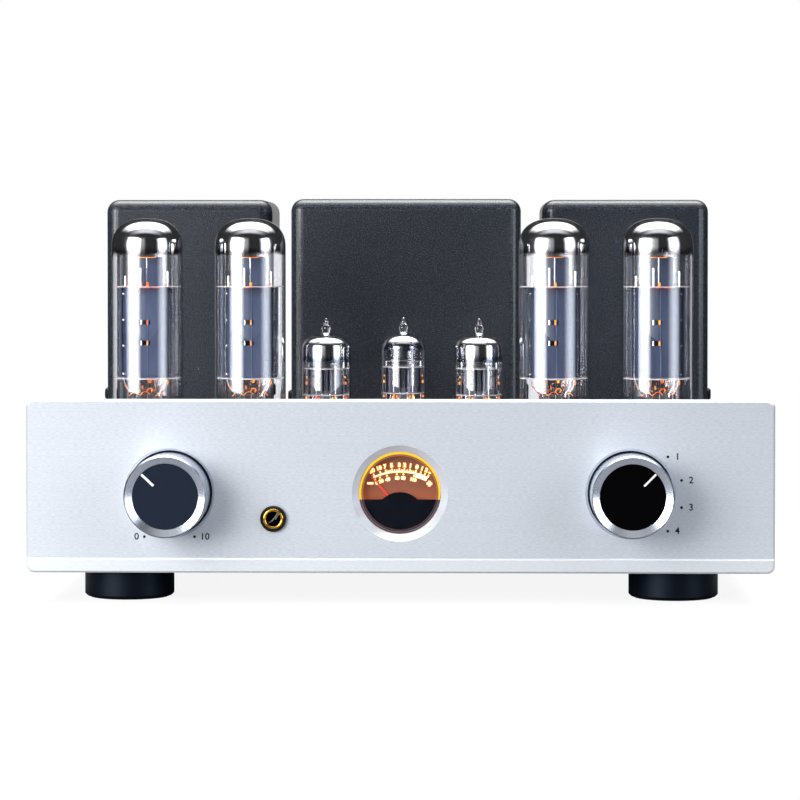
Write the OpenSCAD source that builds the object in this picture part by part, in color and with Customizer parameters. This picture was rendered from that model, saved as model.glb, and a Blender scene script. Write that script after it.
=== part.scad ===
// Tube integrated amplifier: a brushed front panel with two knobs, a round level meter and a
// headphone socket, a folded steel chassis on four feet, four power tubes, three small tubes
// and three transformer covers. Depths run from the panel's front face towards the back.

/* [Front panel] */
// Width of the front panel
panel_w = 330; // [324:1:360]
// Height of the front panel
panel_h = 76.4; // [74:0.1:84]
// Thickness of the front panel
panel_t = 9; // [8:0.5:10]
// Radius of the panel's corners
panel_corner_r = 3; // [1:0.5:6]
// Bevel round the panel's front edge
panel_bevel = 0.8; // [0.3:0.1:1.5]
// Height of the groove above the panel's lower edge
groove_h = 6.4; // [5:0.1:8]
// Width of the V groove
groove_w = 1.2; // [0.6:0.1:2]
// Height of the knobs and the meter above the panel's lower edge
control_h = 35.2; // [34:0.1:37]

/* [Chassis] */
// Width of the chassis
chassis_w = 316; // [312:1:324]
// Depth of the chassis
chassis_d = 241; // [236:1:270]
// Height of the chassis, from under the bottom plate to the top
chassis_h = 61; // [60:1:70]
// Thickness of the sheet steel
sheet_t = 1.5; // [1:0.1:2]
// Width of the lip that the bottom plate is screwed to
lip_w = 10; // [8:1:14]
// Outer radius of the folds
fold_r = 2; // [1.6:0.1:4]

/* [Feet] */
// Diameter of a foot
foot_d = 40; // [30:1:44]
// Height of a foot, without its pad
foot_h = 12.4; // [10:0.1:16]
// Part of the rubber pad that stands below the foot
pad_proud = 0.6; // [0.3:0.1:2]
// Distance of the feet's middle from the chassis side
foot_inset = 36; // [30:1:58]
// Depth of the front feet behind the panel's face
foot_front_y = 27; // [25:1:40]
// Distance of the rear feet from the chassis back
foot_back_gap = 30; // [24:1:50]

/* [Knobs] */
// Distance of each knob's middle from the panel's end
knob_inset = 63.4; // [59:0.1:67]
// Diameter of a knob
knob_d = 36; // [34:0.5:38]
// How far a knob stands out of the panel
knob_proud = 22; // [20:0.5:28]
// Room round the knob in its round recess
knob_recess_gap = 0.9; // [0.5:0.05:3]
// Bevel of the recess's edge
knob_recess_bevel = 1.1; // [0.5:0.05:2]
// Depth of the round recess in the panel
knob_recess_t = 3.5; // [2:0.1:5]
// Gap between the knob's back and the recess
knob_back_gap = 0.8; // [0.4:0.1:1.5]
// Diameter of the dark disc in the knob
insert_d = 28.6; // [26:0.1:30]
// Thickness of the dark disc
insert_t = 2.6; // [1.6:0.1:3]
// Depth of the dished rim in front of the dark disc
dish_t = 1.7; // [1:0.1:4]
// Length of the pointer line
pointer_l = 7.6; // [4:0.1:10]
// Width of the pointer line
pointer_w = 1.3; // [0.8:0.1:2]
// Volume pointer, degrees clockwise from the top
volume_pointer_a = -47; // [-150:1:150]
// Selector pointer, degrees clockwise from the top
selector_pointer_a = 45; // [45:30:135]

/* [Shafts] */
// Diameter of the control shafts
shaft_d = 6; // [4:0.5:6.5]
// Radial running clearance of everything that turns
run_gap = 0.05; // [0.02:0.01:0.08]
// Diameter of the threaded bush round a shaft
bush_d = 9; // [8.5:0.5:10]
// Size across the flats of the bush nut
nut_flats = 12; // [11:0.5:13]
// Depth of the control bodies behind the front wall
control_body_l = 19; // [14:0.5:20]

/* [Headphone socket] */
// Sideways place of the socket
jack_x = -55.7; // [-60:0.1:-50]
// Height of the socket above the panel's lower edge
jack_h = 24; // [22:0.1:30]
// Bore that takes the plug
jack_bore_d = 6.5; // [6.35:0.05:6.6]
// Outer diameter of the plated sleeve
jack_sleeve_d = 9.1; // [8.5:0.1:10]
// Outer diameter of the black ring
jack_ring_d = 11.5; // [11:0.1:14]
// How far the black ring stands out
jack_ring_t = 1.8; // [1:0.1:3]

/* [Meter] */
// Outer diameter of the bevelled opening
meter_bevel_d = 42.4; // [41:0.1:45]
// Diameter of the opening behind the bevel
meter_open_d = 36.4; // [36:0.1:38]
// Wall of the clear lens cup
lens_wall = 1.3; // [1:0.1:1.6]
// Thickness of the lens front
lens_t = 1.5; // [1:0.1:2]
// Depth of the meter can behind the panel
meter_can_l = 23; // [21:0.5:28]
// Height of the needle pivot below the meter's middle
pivot_drop = 8.1; // [7:0.1:8.3]
// Length of the needle from its pivot
needle_l = 20; // [16:0.1:20.5]
// Rest angle of the needle, degrees clockwise from straight up
needle_rest_a = -39; // [-42:1:-30]
// Height of the dark mask's edge below the meter's middle
mask_drop = 3; // [2:0.1:5]
// Radius of the rounded hump on the mask
hump_r = 11.1; // [10:0.1:12]

/* [Power tubes] */
// Diameter of the glass
power_glass_d = 32.2; // [30:0.1:33]
// Height from the socket to the top of the glass
power_tube_h = 94.8; // [88:0.1:105]
// Height of the base
power_base_h = 12; // [10:0.1:12.5]
// Place of the inner tubes from the middle
power_tube_x = 69; // [66:0.5:72]
// Distance between two tubes
power_tube_pitch = 47; // [44:0.5:48]
// Depth of the power tubes behind the panel's face
power_tube_y = 47; // [46:0.5:52]
// Height of the dome
power_dome_h = 13.3; // [10:0.1:18]
// Height of the lower mica plate above the socket
power_mica_low = 22; // [20:0.5:26]
// Height of the upper mica plate above the socket
power_mica_high = 63.6; // [56:0.1:66]
// Width of the plate with its wings
anode_wing_w = 25.5; // [22:0.1:26]

/* [Small tubes] */
// Diameter of the driver tubes
driver_glass_d = 22.5; // [20:0.1:23]
// Diameter of the input tube
input_glass_d = 20.7; // [19:0.1:22]
// Height from the socket to the top of the dome
small_tube_h = 40.5; // [36:0.1:46]
// Height of the sealed tip on the dome
tip_h = 8; // [5:0.1:10]
// Sideways place of the driver tubes
driver_tube_x = 35.1; // [32:0.1:38]
// Depth of the driver tubes behind the panel's face
driver_tube_y = 61; // [56:0.5:66]
// Depth of the input tube behind the panel's face
input_tube_y = 80; // [76:0.5:90]
// Height of the lower mica plate above the socket
small_mica_low = 12.8; // [11:0.1:14]
// Height of the upper mica plate above the socket
small_mica_high = 24.9; // [22:0.1:28]

/* [Transformers] */
// Distance of the outer covers from the chassis side
cover_inset = 10.5; // [4:0.1:11]
// Depth of the outer covers
side_cover_d = 71; // [70:0.5:76]
// Width of the middle cover
power_cover_w = 110.8; // [104:0.1:114]
// Depth of the middle cover
power_cover_d = 98; // [92:0.5:104]
// Height of all covers
cover_h = 106; // [102:0.5:115]
// Wall of the covers
cover_t = 1.2; // [1:0.1:1.6]
// Outer edge radius of the covers
cover_r = 6; // [3:0.5:8]
// Gap between neighbouring covers
cover_gap = 10.8; // [9:0.1:12]
// Distance of the covers from the chassis back
cover_back_gap = 20; // [18:1:24]
// Height of the cover screws above the top plate
cover_screw_h = 10.5; // [9:0.5:14]
// Distance of the cover screws from the cover's front and back
cover_screw_inset = 11; // [10:0.5:20]
// Room between an output transformer's plates and its cover at each side
output_room = 7.7; // [7:0.1:12]
// Room between an output winding and its cover at the front and the back
output_coil_room = 2.1; // [1:0.1:6]
// Outer limb of the power transformer's plates
power_limb = 16; // [14:0.1:16.5]
// Stack of the power transformer's plates
power_stack = 50; // [40:1:58]

/* [Back] */
// Height of the connectors above the bottom plate
back_row_h = 31; // [30:0.5:34]
// Distance between two loudspeaker posts
post_pitch = 19; // [18:0.5:19.5]
// Distance of the nearest post from the middle
post_x = 13; // [11:0.5:13]
// How far a post stands out of the back
post_proud = 20; // [18:0.5:26]
// Diameter of a post's stud
post_stud_d = 6; // [6:0.1:7]
// Diameter of the 4 mm plug bore in the stud
post_bore_d = 4.1; // [4:0.05:4.2]
// Depth of the plug bore
post_bore_l = 16; // [12:0.5:17]
// Diameter of a post's cap
post_cap_d = 14; // [12:0.5:15]
// Place of the first column of input jacks
input_x = 84; // [82:0.5:90]
// Distance between two columns of input jacks
input_pitch_x = 20; // [17:0.5:20]
// Distance between two rows of input jacks
input_pitch_z = 20; // [17:0.5:22]
// Barrel diameter of an input jack
input_barrel_d = 8.3; // [8.2:0.05:8.4]
// Barrel length of an input jack
input_barrel_l = 8.5; // [7:0.5:10]
// Place of the mains inlet
inlet_x = -115; // [-120:0.5:-110]
// Place of the power switch
switch_x = -72; // [-74:0.5:-71]
// Tilt of the power rocker to either side
rocker_tilt = 10; // [6:1:12]

/* [Hidden] */
$fn = 64;
fit = 0.15;
screw_gap = 0.1;
over = 1;

base_z = foot_h + pad_proud;
top_z = base_z + chassis_h;
shell_z = base_z + sheet_t;
panel_top_z = base_z + panel_h;
control_z = base_z + control_h;
jack_z = base_z + jack_h;
back_z = base_z + back_row_h;

wall_y = panel_t + sheet_t;
back_y = panel_t + chassis_d;
back_in_y = back_y - sheet_t;
total_d = knob_proud + back_y + post_proud;
front_y = knob_proud - total_d / 2;

knob_r = knob_d / 2;
knob_recess_r = knob_r + knob_recess_gap;
knob_x = panel_w / 2 - knob_inset;
insert_r = insert_d / 2;
insert_y = -knob_proud + dish_t;
shaft_r = shaft_d / 2;
shaft_in_knob = 11;
shaft_in_body = 4;
bush_r = bush_d / 2;
bush_front_y = 5;
nut_t = 2;
nut_hole_r = nut_flats / 2 / cos(30) + 0.5;
control_body_w = 24;
switch_body_r = 14;

jack_r = jack_bore_d / 2;
jack_sleeve_r = jack_sleeve_d / 2;
jack_set_back = 0.3;
jack_body_l = 24;
jack_body_w = 15;
jack_body_h = 13;
jack_seat = 2;

meter_bevel_t = (meter_bevel_d - meter_open_d) / 2;
lens_r = meter_open_d / 2 - 0.2;
lens_in_r = lens_r - lens_wall;
lens_y = meter_bevel_t;
lens_back_y = panel_t + 2;
can_r = lens_r + 2.4;
can_wall = 2;
collar_r = lens_in_r - 0.3;
collar_in_r = collar_r - 1.1;
face_t = 0.8;
face_y = panel_t - 0.5;
mask_t = 0.8;
mask_y = lens_y + lens_t + 0.7;
needle_t = 0.4;
needle_y = mask_y + mask_t + 0.9;
needle_hub_r = 2;
needle_shaft_r = 0.75;
needle_shaft_l = 8.5;
weight_t = 1.2;
movement_r = collar_in_r - pivot_drop - 0.2;
movement_y = panel_t + 2.5;
pivot_z = control_z - pivot_drop;
hump_z = control_z + 0.2 - hump_r;
can_back_y = panel_t + meter_can_l;

octal_seat_t = 1;
octal_flange_r = 19.5;
octal_body_r = 14.6;
octal_body_l = 14;
octal_pcd = 17.45;
octal_pin_r = 1.18;
octal_pin_l = 11;
octal_key_r = 3.9;
octal_key_l = 12;
octal_ridge = 1.2;
octal_pins = 8;
power_seat_z = top_z + octal_seat_t;
power_glass_r = power_glass_d / 2;
power_glass_wall = 1.1;
base_wall = 1;
base_floor = 3;
power_inner_r = power_glass_r - power_glass_wall;
power_stem_r = 5;
power_stem_h = 14;
mica_t = 0.4;
anode_w = 17;
anode_d = 12;
anode_wall = 0.5;
anode_window = [5.9, 2.1];
anode_window_h = [38.2, 47.6];
fin_box = [14, 7, 13.4];
rod_r = 0.5;
rod_x = 4;
rod_y = 2.2;
cathode_r = 1.2;

noval_seat_t = 2;
noval_flange_r = 14;
noval_body_r = 10.6;
noval_body_l = 12;
noval_pcd = 11.89;
noval_pin_r = 0.5;
noval_pin_l = 7;
noval_slots = 10;
small_seat_z = top_z + noval_seat_t;
small_glass_wall = 0.9;
button_t = 2.5;
small_rod_r = 0.35;
small_rod_x = 8;
small_anode = [7, 5.5];
small_anode_x = 4.4;
small_anode_wall = 0.4;
small_rod_top = 3;

side_cover_w = (chassis_w - power_cover_w) / 2 - cover_gap - cover_inset;
side_cover_x = power_cover_w / 2 + cover_gap + side_cover_w / 2;
output_limb = (side_cover_w - 2 * cover_t - 2 * output_room) / 5;
coil_gap = 0.5;
coil_bore_gap = 0.2;
output_stack = side_cover_d - 2 * (cover_t + output_coil_room + output_limb - coil_gap);
covers_back_y = back_y - cover_back_gap;
bracket_w = 12;
bracket_foot = 5;
bracket_gap = 0.2;
cover_screw_r = 1.5;
cover_screw_l = 8;
wire_hole_r = 8;

vent_l = 34;
vent_w = 3;
vent_pitch = 8;
vent_rows = 7;
boss_h = 8;
boss_r = 3;
board_w = 236;
board_d = 168;
board_t = 1.6;
board_gap_y = 20;
board_inset = 8;
can_cap_r = 11;
can_cap_h = 34;
can_cap_pitch = 26;

post_stud_r = post_stud_d / 2;
post_collar_r = 7.5;
post_collar_t = 4.3;
post_spigot_r = post_stud_r + 1.3;
post_in_l = 10.5;
post_washer_t = 3.5;
post_nut_t = 3;
post_nut_r = 6;
post_cap_gap = 0.3;
post_flutes = 14;
post_flute_r = 1;
post_end_gap = 0.6;

input_barrel_r = input_barrel_d / 2;
input_pin_r = 1.65;
input_core_r = 3;
input_flange_r = 5.5;
input_flange_t = 2;
input_washer_r = 6.8;
input_washer_t = 1.5;
input_in_l = 9;
input_in_r = 4;

inlet_flange = [50, 22.6];
inlet_flange_t = 2.5;
inlet_body = [27, 19.8];
inlet_body_l = 22;
inlet_mouth = [24, 16.4];
inlet_mouth_l = 16;
inlet_cut = 4;
inlet_pin = [2, 13, 4];
inlet_pin_x = 7;
inlet_pin_z = 2;
inlet_screw_x = 20;
inlet_screw_r = 1.6;

switch_flange = [18, 24];
switch_flange_t = 2;
switch_body = [15, 21];
switch_body_l = 14;
switch_mouth = [10.6, 18.6];
switch_mouth_l = 9;
rocker_w = 10;
rocker_reach = 8;
rocker_lip = 4;
rocker_waist = 2.2;
rocker_keel = 3;
rocker_pivot_y = back_y - 0.5;
trunnion_r = 1.2;
trunnion_l = 1.3;

foot_x = chassis_w / 2 - foot_inset;
foot_bevel = 1;
pad_r = foot_d / 2 - 2.5;
pad_in_r = 6;
pad_t = pad_proud + 1.5;
foot_screw_r = 2;
foot_head_z = 5;
panel_screw_r = 2;
panel_screw_l = 7;
panel_screw_xz = [
    [chassis_w / 2 - 10, 11], [chassis_w / 2 - 10, 53], [75, 53],
    [-chassis_w / 2 + 10, 11], [-chassis_w / 2 + 10, 53], [-75, 53]
];
lip_screw_r = 1.5;
lip_screw_l = 6;

power_tube_xs = [
    -power_tube_x - power_tube_pitch, -power_tube_x, power_tube_x, power_tube_x + power_tube_pitch
];
small_tube_xys = [[-driver_tube_x, driver_tube_y], [0, input_tube_y], [driver_tube_x, driver_tube_y]];
small_glass_rs = [driver_glass_d / 2, input_glass_d / 2, driver_glass_d / 2];
small_dome_hs = [6.3, 8.4, 6.3];
covers = [
    [-side_cover_x, side_cover_w, side_cover_d],
    [0, power_cover_w, power_cover_d],
    [side_cover_x, side_cover_w, side_cover_d]
];
post_xs = [for (side = [-1, 1], i = [0:2]) side * (post_x + post_pitch * (side < 0 ? 2 - i : i))];
input_xzs = [for (i = [0:2], s = [-1, 1]) [input_x + i * input_pitch_x, back_z + s * input_pitch_z / 2]];
foot_xys = [for (x = [-foot_x, foot_x], y = [foot_front_y, back_y - foot_back_gap]) [x, y]];
lip_screw_xys = [
    for (x = [-1, 1], y = [0.08, 0.5, 0.92]) [x * (chassis_w / 2 - lip_w / 2), panel_t + chassis_d * y]
];
board_y = back_y - board_gap_y - board_d;
boss_xys = [
    for (x = [-1, 0, 1], y = [0, 1])
        [x * (board_w / 2 - board_inset), board_y + board_inset + y * (board_d - 2 * board_inset)]
];
cap_xys = [for (i = [-1.5:1.5]) [i * can_cap_pitch, board_y + board_d * 0.6]];

// Points of an arc about [x, y]
function arc(x, y, r, a0, a1, n) =
    [for (i = [0:n]) let (a = a0 + (a1 - a0) * i / n) [x + r * cos(a), y + r * sin(a)]];

// Outline of a rectangle with round corners, about its middle
function rounded(w, h, r, n = 5) = concat(
    arc(w / 2 - r, h / 2 - r, r, 0, 90, n),
    arc(r - w / 2, h / 2 - r, r, 90, 180, n),
    arc(r - w / 2, r - h / 2, r, 180, 270, n),
    arc(w / 2 - r, r - h / 2, r, 270, 360, n)
);

// Outline of a plate that stands on y = 0 with round upper corners
function arch(w, h, r, n = 5) = concat(
    [[-w / 2, 0], [w / 2, 0]],
    arc(w / 2 - r, h - r, r, 0, 90, n),
    arc(r - w / 2, h - r, r, 90, 180, n)
);

// Profile of a blown dome, from its rim up to the axis
function dome(r, z, h, n = 9) =
    [for (i = [0:n]) let (a = 90 * i / n) [r * pow(cos(a), 0.84), z + h * pow(sin(a), 0.84)]];

function reversed(points) = [for (i = [len(points) - 1:-1:0]) points[i]];

// Moves depths behind the panel's face into the frame of the whole amplifier
module at_front() translate([0, front_y, 0]) children();

// Cylinder along the depth, from y0 to y1
module y_cylinder(r, y0, y1) translate([0, y0, 0]) rotate([-90, 0, 0]) cylinder(r = r, h = y1 - y0);

// Profile of [radius, depth] points, turned about the depth axis
module y_revolve() rotate([-90, 0, 0]) rotate_extrude() children();

// Outline in width and height, extruded from depth y0 to y1
module y_extrude(y0, y1) translate([0, y1, 0]) rotate([90, 0, 0]) linear_extrude(y1 - y0) children();

module hex_nut(flats, bore_r, y0, t) difference() {
    y_extrude(y0, y0 + t) circle(r = flats / 2 / cos(30), $fn = 6);
    y_cylinder(bore_r, y0 - over, y0 + t + over);
}

// Pan-head screw that points along +Z, with its head below z = 0
module pan_screw(r, l) {
    head_r = 2 * r;
    head_t = 1.2 * r;
    rotate_extrude() polygon([
        [0, -head_t], [head_r * 0.75, -head_t], [head_r, -head_t * 0.5], [head_r, 0], [r, 0], [r, l], [0, l]
    ]);
}

// Turned from a pan-head screw: points along the depth, its head in front
module y_screw(r, l) rotate([-90, 0, 0]) pan_screw(r, l);

module front_panel() color("silver") at_front() difference() {
    translate([0, 0, base_z + panel_h / 2]) hull() {
        y_extrude(panel_bevel, panel_t) polygon(rounded(panel_w, panel_h, panel_corner_r));
        y_extrude(0, panel_bevel) polygon(
            rounded(panel_w - 2 * panel_bevel, panel_h - 2 * panel_bevel, panel_corner_r)
        );
    }
    translate([0, 0, base_z + groove_h]) rotate([45, 0, 0])
        cube([panel_w + over, groove_w / sqrt(2), groove_w / sqrt(2)], center = true);
    for (x = [-knob_x, knob_x]) translate([x, 0, control_z]) {
        y_revolve() polygon([
            [0, -over], [knob_recess_r + knob_recess_bevel + over, -over],
            [knob_recess_r, knob_recess_bevel], [knob_recess_r, knob_recess_t], [0, knob_recess_t]
        ]);
        y_cylinder(nut_hole_r, 0, panel_t + over);
    }
    translate([0, 0, control_z]) {
        y_cylinder(meter_open_d / 2, 0, panel_t + over);
        y_revolve() polygon([
            [0, -over], [meter_bevel_d / 2 + over, -over],
            [meter_bevel_d / 2, 0], [meter_open_d / 2, meter_bevel_t], [0, meter_bevel_t]
        ]);
    }
    translate([jack_x, 0, jack_z]) y_cylinder(jack_sleeve_r + fit, -over, panel_t + over);
    for (p = panel_screw_xz) translate([p[0], 0, base_z + p[1]])
        y_cylinder(panel_screw_r + screw_gap, wall_y - panel_screw_l, panel_t + over);
}

// Top and two sides folded from one sheet, with a lip under each side
module shell_wrap() {
    translate([0, 0, shell_z]) y_extrude(panel_t, back_y) difference() {
        polygon(arch(chassis_w, top_z - shell_z, fold_r));
        translate([0, -over])
            polygon(arch(chassis_w - 2 * sheet_t, top_z - shell_z - sheet_t + over, fold_r - sheet_t));
    }
    for (s = [-1, 1]) translate([s * (chassis_w - lip_w) / 2, panel_t + chassis_d / 2, shell_z + sheet_t / 2])
        cube([lip_w, chassis_d - 2 * (sheet_t + fit), sheet_t], center = true);
}

// Flat plate let into one end of the wrap
module end_plate(y) translate([0, 0, shell_z]) y_extrude(y, y + sheet_t)
    polygon(arch(chassis_w - 2 * (sheet_t + fit), top_z - shell_z - sheet_t - fit, fold_r - sheet_t));

module front_wall_holes() {
    for (x = [-knob_x, knob_x]) translate([x, 0, control_z]) y_cylinder(bush_r + fit, 0, wall_y + over);
    translate([0, 0, control_z]) y_cylinder(can_r + fit, 0, wall_y + over);
    translate([jack_x, 0, jack_z]) y_cylinder(jack_sleeve_r + fit, 0, wall_y + over);
    for (p = panel_screw_xz) translate([p[0], 0, base_z + p[1]])
        y_cylinder(panel_screw_r + screw_gap, 0, wall_y + over);
}

module back_wall_holes() {
    for (x = post_xs) translate([x, 0, back_z]) y_cylinder(post_spigot_r + fit, back_in_y - over, back_y + over);
    for (p = input_xzs) translate([p[0], 0, p[1]])
        y_cylinder(input_in_r + 0.6 + fit, back_in_y - over, back_y + over);
    translate([inlet_x, 0, back_z]) {
        y_extrude(back_in_y - over, back_y + over)
            square([inlet_body[0] + 2 * fit, inlet_body[1] + 2 * fit], center = true);
        for (s = [-1, 1]) translate([s * inlet_screw_x, 0, 0])
            y_cylinder(inlet_screw_r + screw_gap, back_in_y - over, back_y + over);
    }
    translate([switch_x, 0, back_z]) y_extrude(back_in_y - over, back_y + over)
        square([switch_body[0] + 2 * fit, switch_body[1] + 2 * fit], center = true);
}

module top_holes() {
    for (x = power_tube_xs) translate([x, power_tube_y, shell_z + sheet_t])
        cylinder(r = octal_body_r + fit, h = chassis_h);
    for (p = small_tube_xys) translate([p[0], p[1], shell_z + sheet_t])
        cylinder(r = noval_body_r + fit, h = chassis_h);
    for (c = covers) translate([c[0], covers_back_y - c[2] / 2, top_z - 2 * sheet_t])
        cylinder(r = wire_hole_r, h = 3 * sheet_t);
}

module chassis_shell() color("dimgray") at_front() difference() {
    shell_wrap();
    top_holes();
    for (p = lip_screw_xys) translate([p[0], p[1], shell_z - over])
        cylinder(r = lip_screw_r + screw_gap, h = sheet_t + 2 * over);
}

module chassis_ends() color("dimgray") at_front() {
    difference() {
        end_plate(panel_t);
        front_wall_holes();
    }
    difference() {
        end_plate(back_in_y);
        back_wall_holes();
    }
}

module bottom_plate() color("dimgray") at_front() {
    difference() {
        translate([0, panel_t + chassis_d / 2, base_z]) linear_extrude(sheet_t) difference() {
            polygon(rounded(chassis_w, chassis_d, fold_r));
            for (s = [-1, 1], i = [0:vent_rows - 1])
                translate([s * (power_tube_x + power_tube_pitch / 2), -chassis_d / 3 + i * vent_pitch])
                    polygon(rounded(vent_l, vent_w, vent_w / 2, 4));
        }
        for (p = lip_screw_xys) translate([p[0], p[1], base_z - over])
            cylinder(r = lip_screw_r + screw_gap, h = sheet_t + 2 * over);
        for (p = foot_xys) translate([p[0], p[1], base_z - over])
            cylinder(r = foot_screw_r + screw_gap, h = sheet_t + 2 * over);
    }
    for (p = boss_xys) translate([p[0], p[1], base_z + sheet_t / 2])
        cylinder(r = boss_r, h = sheet_t / 2 + boss_h);
}

module feet() color([0.07, 0.07, 0.08]) at_front() for (p = foot_xys) translate([p[0], p[1], 0])
    rotate_extrude() polygon([
        [foot_screw_r + screw_gap, base_z], [foot_d / 2 - foot_bevel, base_z],
        [foot_d / 2, base_z - foot_bevel], [foot_d / 2, pad_proud + foot_bevel],
        [foot_d / 2 - foot_bevel, pad_proud], [pad_r + fit, pad_proud],
        [pad_r + fit, pad_t], [2 * foot_screw_r + 0.5, pad_t],
        [2 * foot_screw_r + 0.5, foot_head_z + 1.2 * foot_screw_r],
        [foot_screw_r + screw_gap, foot_head_z + 1.2 * foot_screw_r]
    ]);

module foot_pads() color([0.03, 0.03, 0.03]) at_front() for (p = foot_xys) translate([p[0], p[1], 0])
    difference() {
        cylinder(r = pad_r, h = pad_t);
        translate([0, 0, -over]) cylinder(r = pad_in_r, h = pad_t + 2 * over);
    }

// Angle brackets on the top plate that the covers are screwed to
module cover_brackets() for (c = covers, s = [-1, 1], y = [-1, 1])
    translate([
        c[0] + s * (c[1] / 2 - cover_t - bracket_gap),
        covers_back_y - c[2] / 2 + y * (c[2] / 2 - cover_screw_inset), top_z
    ]) scale([-s, 1, 1]) difference() {
        translate([0, -bracket_w / 2, 0]) union() {
            cube([sheet_t, bracket_w, cover_screw_h + bracket_w / 2]);
            cube([bracket_foot, bracket_w, sheet_t]);
        }
        translate([-over, 0, cover_screw_h]) rotate([0, 90, 0])
            cylinder(r = cover_screw_r + screw_gap, h = sheet_t + 2 * over);
    }

module chassis_fasteners() color("gray") at_front() {
    cover_brackets();
    for (p = lip_screw_xys) translate([p[0], p[1], base_z]) pan_screw(lip_screw_r, lip_screw_l);
    for (p = foot_xys) {
        translate([p[0], p[1], foot_head_z + 1.2 * foot_screw_r])
            pan_screw(foot_screw_r, base_z + sheet_t + 4 - foot_head_z - 1.2 * foot_screw_r);
        translate([p[0], p[1], base_z + sheet_t]) difference() {
            cylinder(r = 2 * foot_screw_r, h = 3, $fn = 6);
            translate([0, 0, -over]) cylinder(r = foot_screw_r + run_gap, h = 3 + 2 * over);
        }
    }
    for (p = panel_screw_xz) translate([p[0], wall_y, base_z + p[1]]) rotate([180, 0, 0])
        y_screw(panel_screw_r, panel_screw_l - 0.5);
    for (s = [-1, 1]) translate([inlet_x + s * inlet_screw_x, back_y + inlet_flange_t, back_z])
        rotate([180, 0, 0]) y_screw(inlet_screw_r, inlet_flange_t + sheet_t + 4);
    for (x = [-knob_x, knob_x]) translate([x, 0, control_z])
        hex_nut(nut_flats, bush_r + run_gap, panel_t - nut_t, nut_t);
}

// Closed form of a drawn cover with round upper edges, standing on z = 0
module cover_form(w, d, h, r) hull() for (x = [-1, 1], y = [-1, 1])
    translate([x * (w / 2 - r), y * (d / 2 - r), 0])
        rotate_extrude($fn = 32) polygon(concat([[0, 0], [r, 0]], arc(0, h - r, r, 0, 90, 8)));

module cover(c) at_front() translate([c[0], covers_back_y - c[2] / 2, top_z]) difference() {
    cover_form(c[1], c[2], cover_h, cover_r);
    translate([0, 0, -over])
        cover_form(c[1] - 2 * cover_t, c[2] - 2 * cover_t, cover_h - cover_t + over, cover_r - cover_t);
    for (y = [-1, 1]) translate([-c[1], y * (c[2] / 2 - cover_screw_inset), cover_screw_h])
        rotate([0, 90, 0]) cylinder(r = cover_screw_r + screw_gap, h = 2 * c[1]);
}

module left_output_cover() color([0.2, 0.21, 0.23]) cover(covers[0]);
module power_supply_cover() color([0.2, 0.21, 0.23]) cover(covers[1]);
module right_output_cover() color([0.2, 0.21, 0.23]) cover(covers[2]);

module cover_screws() color([0.1, 0.1, 0.11]) at_front() for (c = covers, s = [-1, 1], y = [-1, 1])
    translate([
        c[0] + s * c[1] / 2, covers_back_y - c[2] / 2 + y * (c[2] / 2 - cover_screw_inset),
        top_z + cover_screw_h
    ]) rotate([0, -s * 90, 0]) pan_screw(cover_screw_r, cover_screw_l);

// Stack of E and I plates with its middle limb across the width
module plate_stack(limb, stack) translate([0, 0, 3 * limb]) difference() {
    cube([5 * limb, stack, 6 * limb], center = true);
    for (s = [-1, 1]) translate([0, 0, s * 1.5 * limb]) cube([3 * limb, stack + 2 * over, limb], center = true);
}

// Winding round the middle limb, clear of the plates all round
module winding(limb, stack) translate([0, 0, 3 * limb]) rotate([90, 0, 90]) difference() {
    linear_extrude(3 * limb - 2 * coil_gap, center = true)
        polygon(rounded(stack + 2 * (limb - coil_gap), 4 * limb - 2 * coil_gap, limb / 2));
    linear_extrude(3 * limb, center = true)
        square([stack + 2 * coil_bore_gap, 2 * (limb + coil_bore_gap)], center = true);
}

module transformer_cores() color([0.35, 0.35, 0.37]) at_front() {
    for (c = [covers[0], covers[2]]) translate([c[0], covers_back_y - c[2] / 2, top_z])
        plate_stack(output_limb, output_stack);
    translate([0, covers_back_y - power_cover_d / 2, top_z]) plate_stack(power_limb, power_stack);
}

module transformer_coils() color([0.6, 0.3, 0.15]) at_front() {
    for (c = [covers[0], covers[2]]) translate([c[0], covers_back_y - c[2] / 2, top_z])
        winding(output_limb, output_stack);
    translate([0, covers_back_y - power_cover_d / 2, top_z]) winding(power_limb, power_stack);
}

module octal_socket() difference() {
    union() {
        cylinder(r = octal_flange_r, h = octal_seat_t);
        translate([0, 0, -octal_body_l]) cylinder(r = octal_body_r, h = octal_body_l + octal_seat_t / 2);
    }
    translate([0, 0, -octal_body_l - over]) cylinder(r = octal_key_r + fit, h = octal_body_l + 3 * over);
    translate([octal_key_r, 0, -octal_body_l / 2])
        cube([2 * octal_ridge + 2 * fit, octal_ridge + 2 * fit, octal_body_l + 4 * over], center = true);
    for (i = [0:octal_pins - 1]) rotate(360 / octal_pins * (i + 0.5))
        translate([octal_pcd / 2, 0, -octal_body_l - over])
            cylinder(r = octal_pin_r + fit, h = octal_body_l + 3 * over);
}

module noval_socket() difference() {
    union() {
        cylinder(r = noval_flange_r, h = noval_seat_t);
        translate([0, 0, -noval_body_l]) cylinder(r = noval_body_r, h = noval_body_l + noval_seat_t / 2);
    }
    for (i = [1:noval_slots - 1]) rotate(360 / noval_slots * i)
        translate([noval_pcd / 2, 0, -noval_body_l - over])
            cylinder(r = noval_pin_r + fit, h = noval_body_l + noval_seat_t + 2 * over);
}

module tube_sockets() color("ivory") at_front() {
    for (x = power_tube_xs) translate([x, power_tube_y, top_z]) octal_socket();
    for (p = small_tube_xys) translate([p[0], p[1], top_z]) noval_socket();
}

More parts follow.
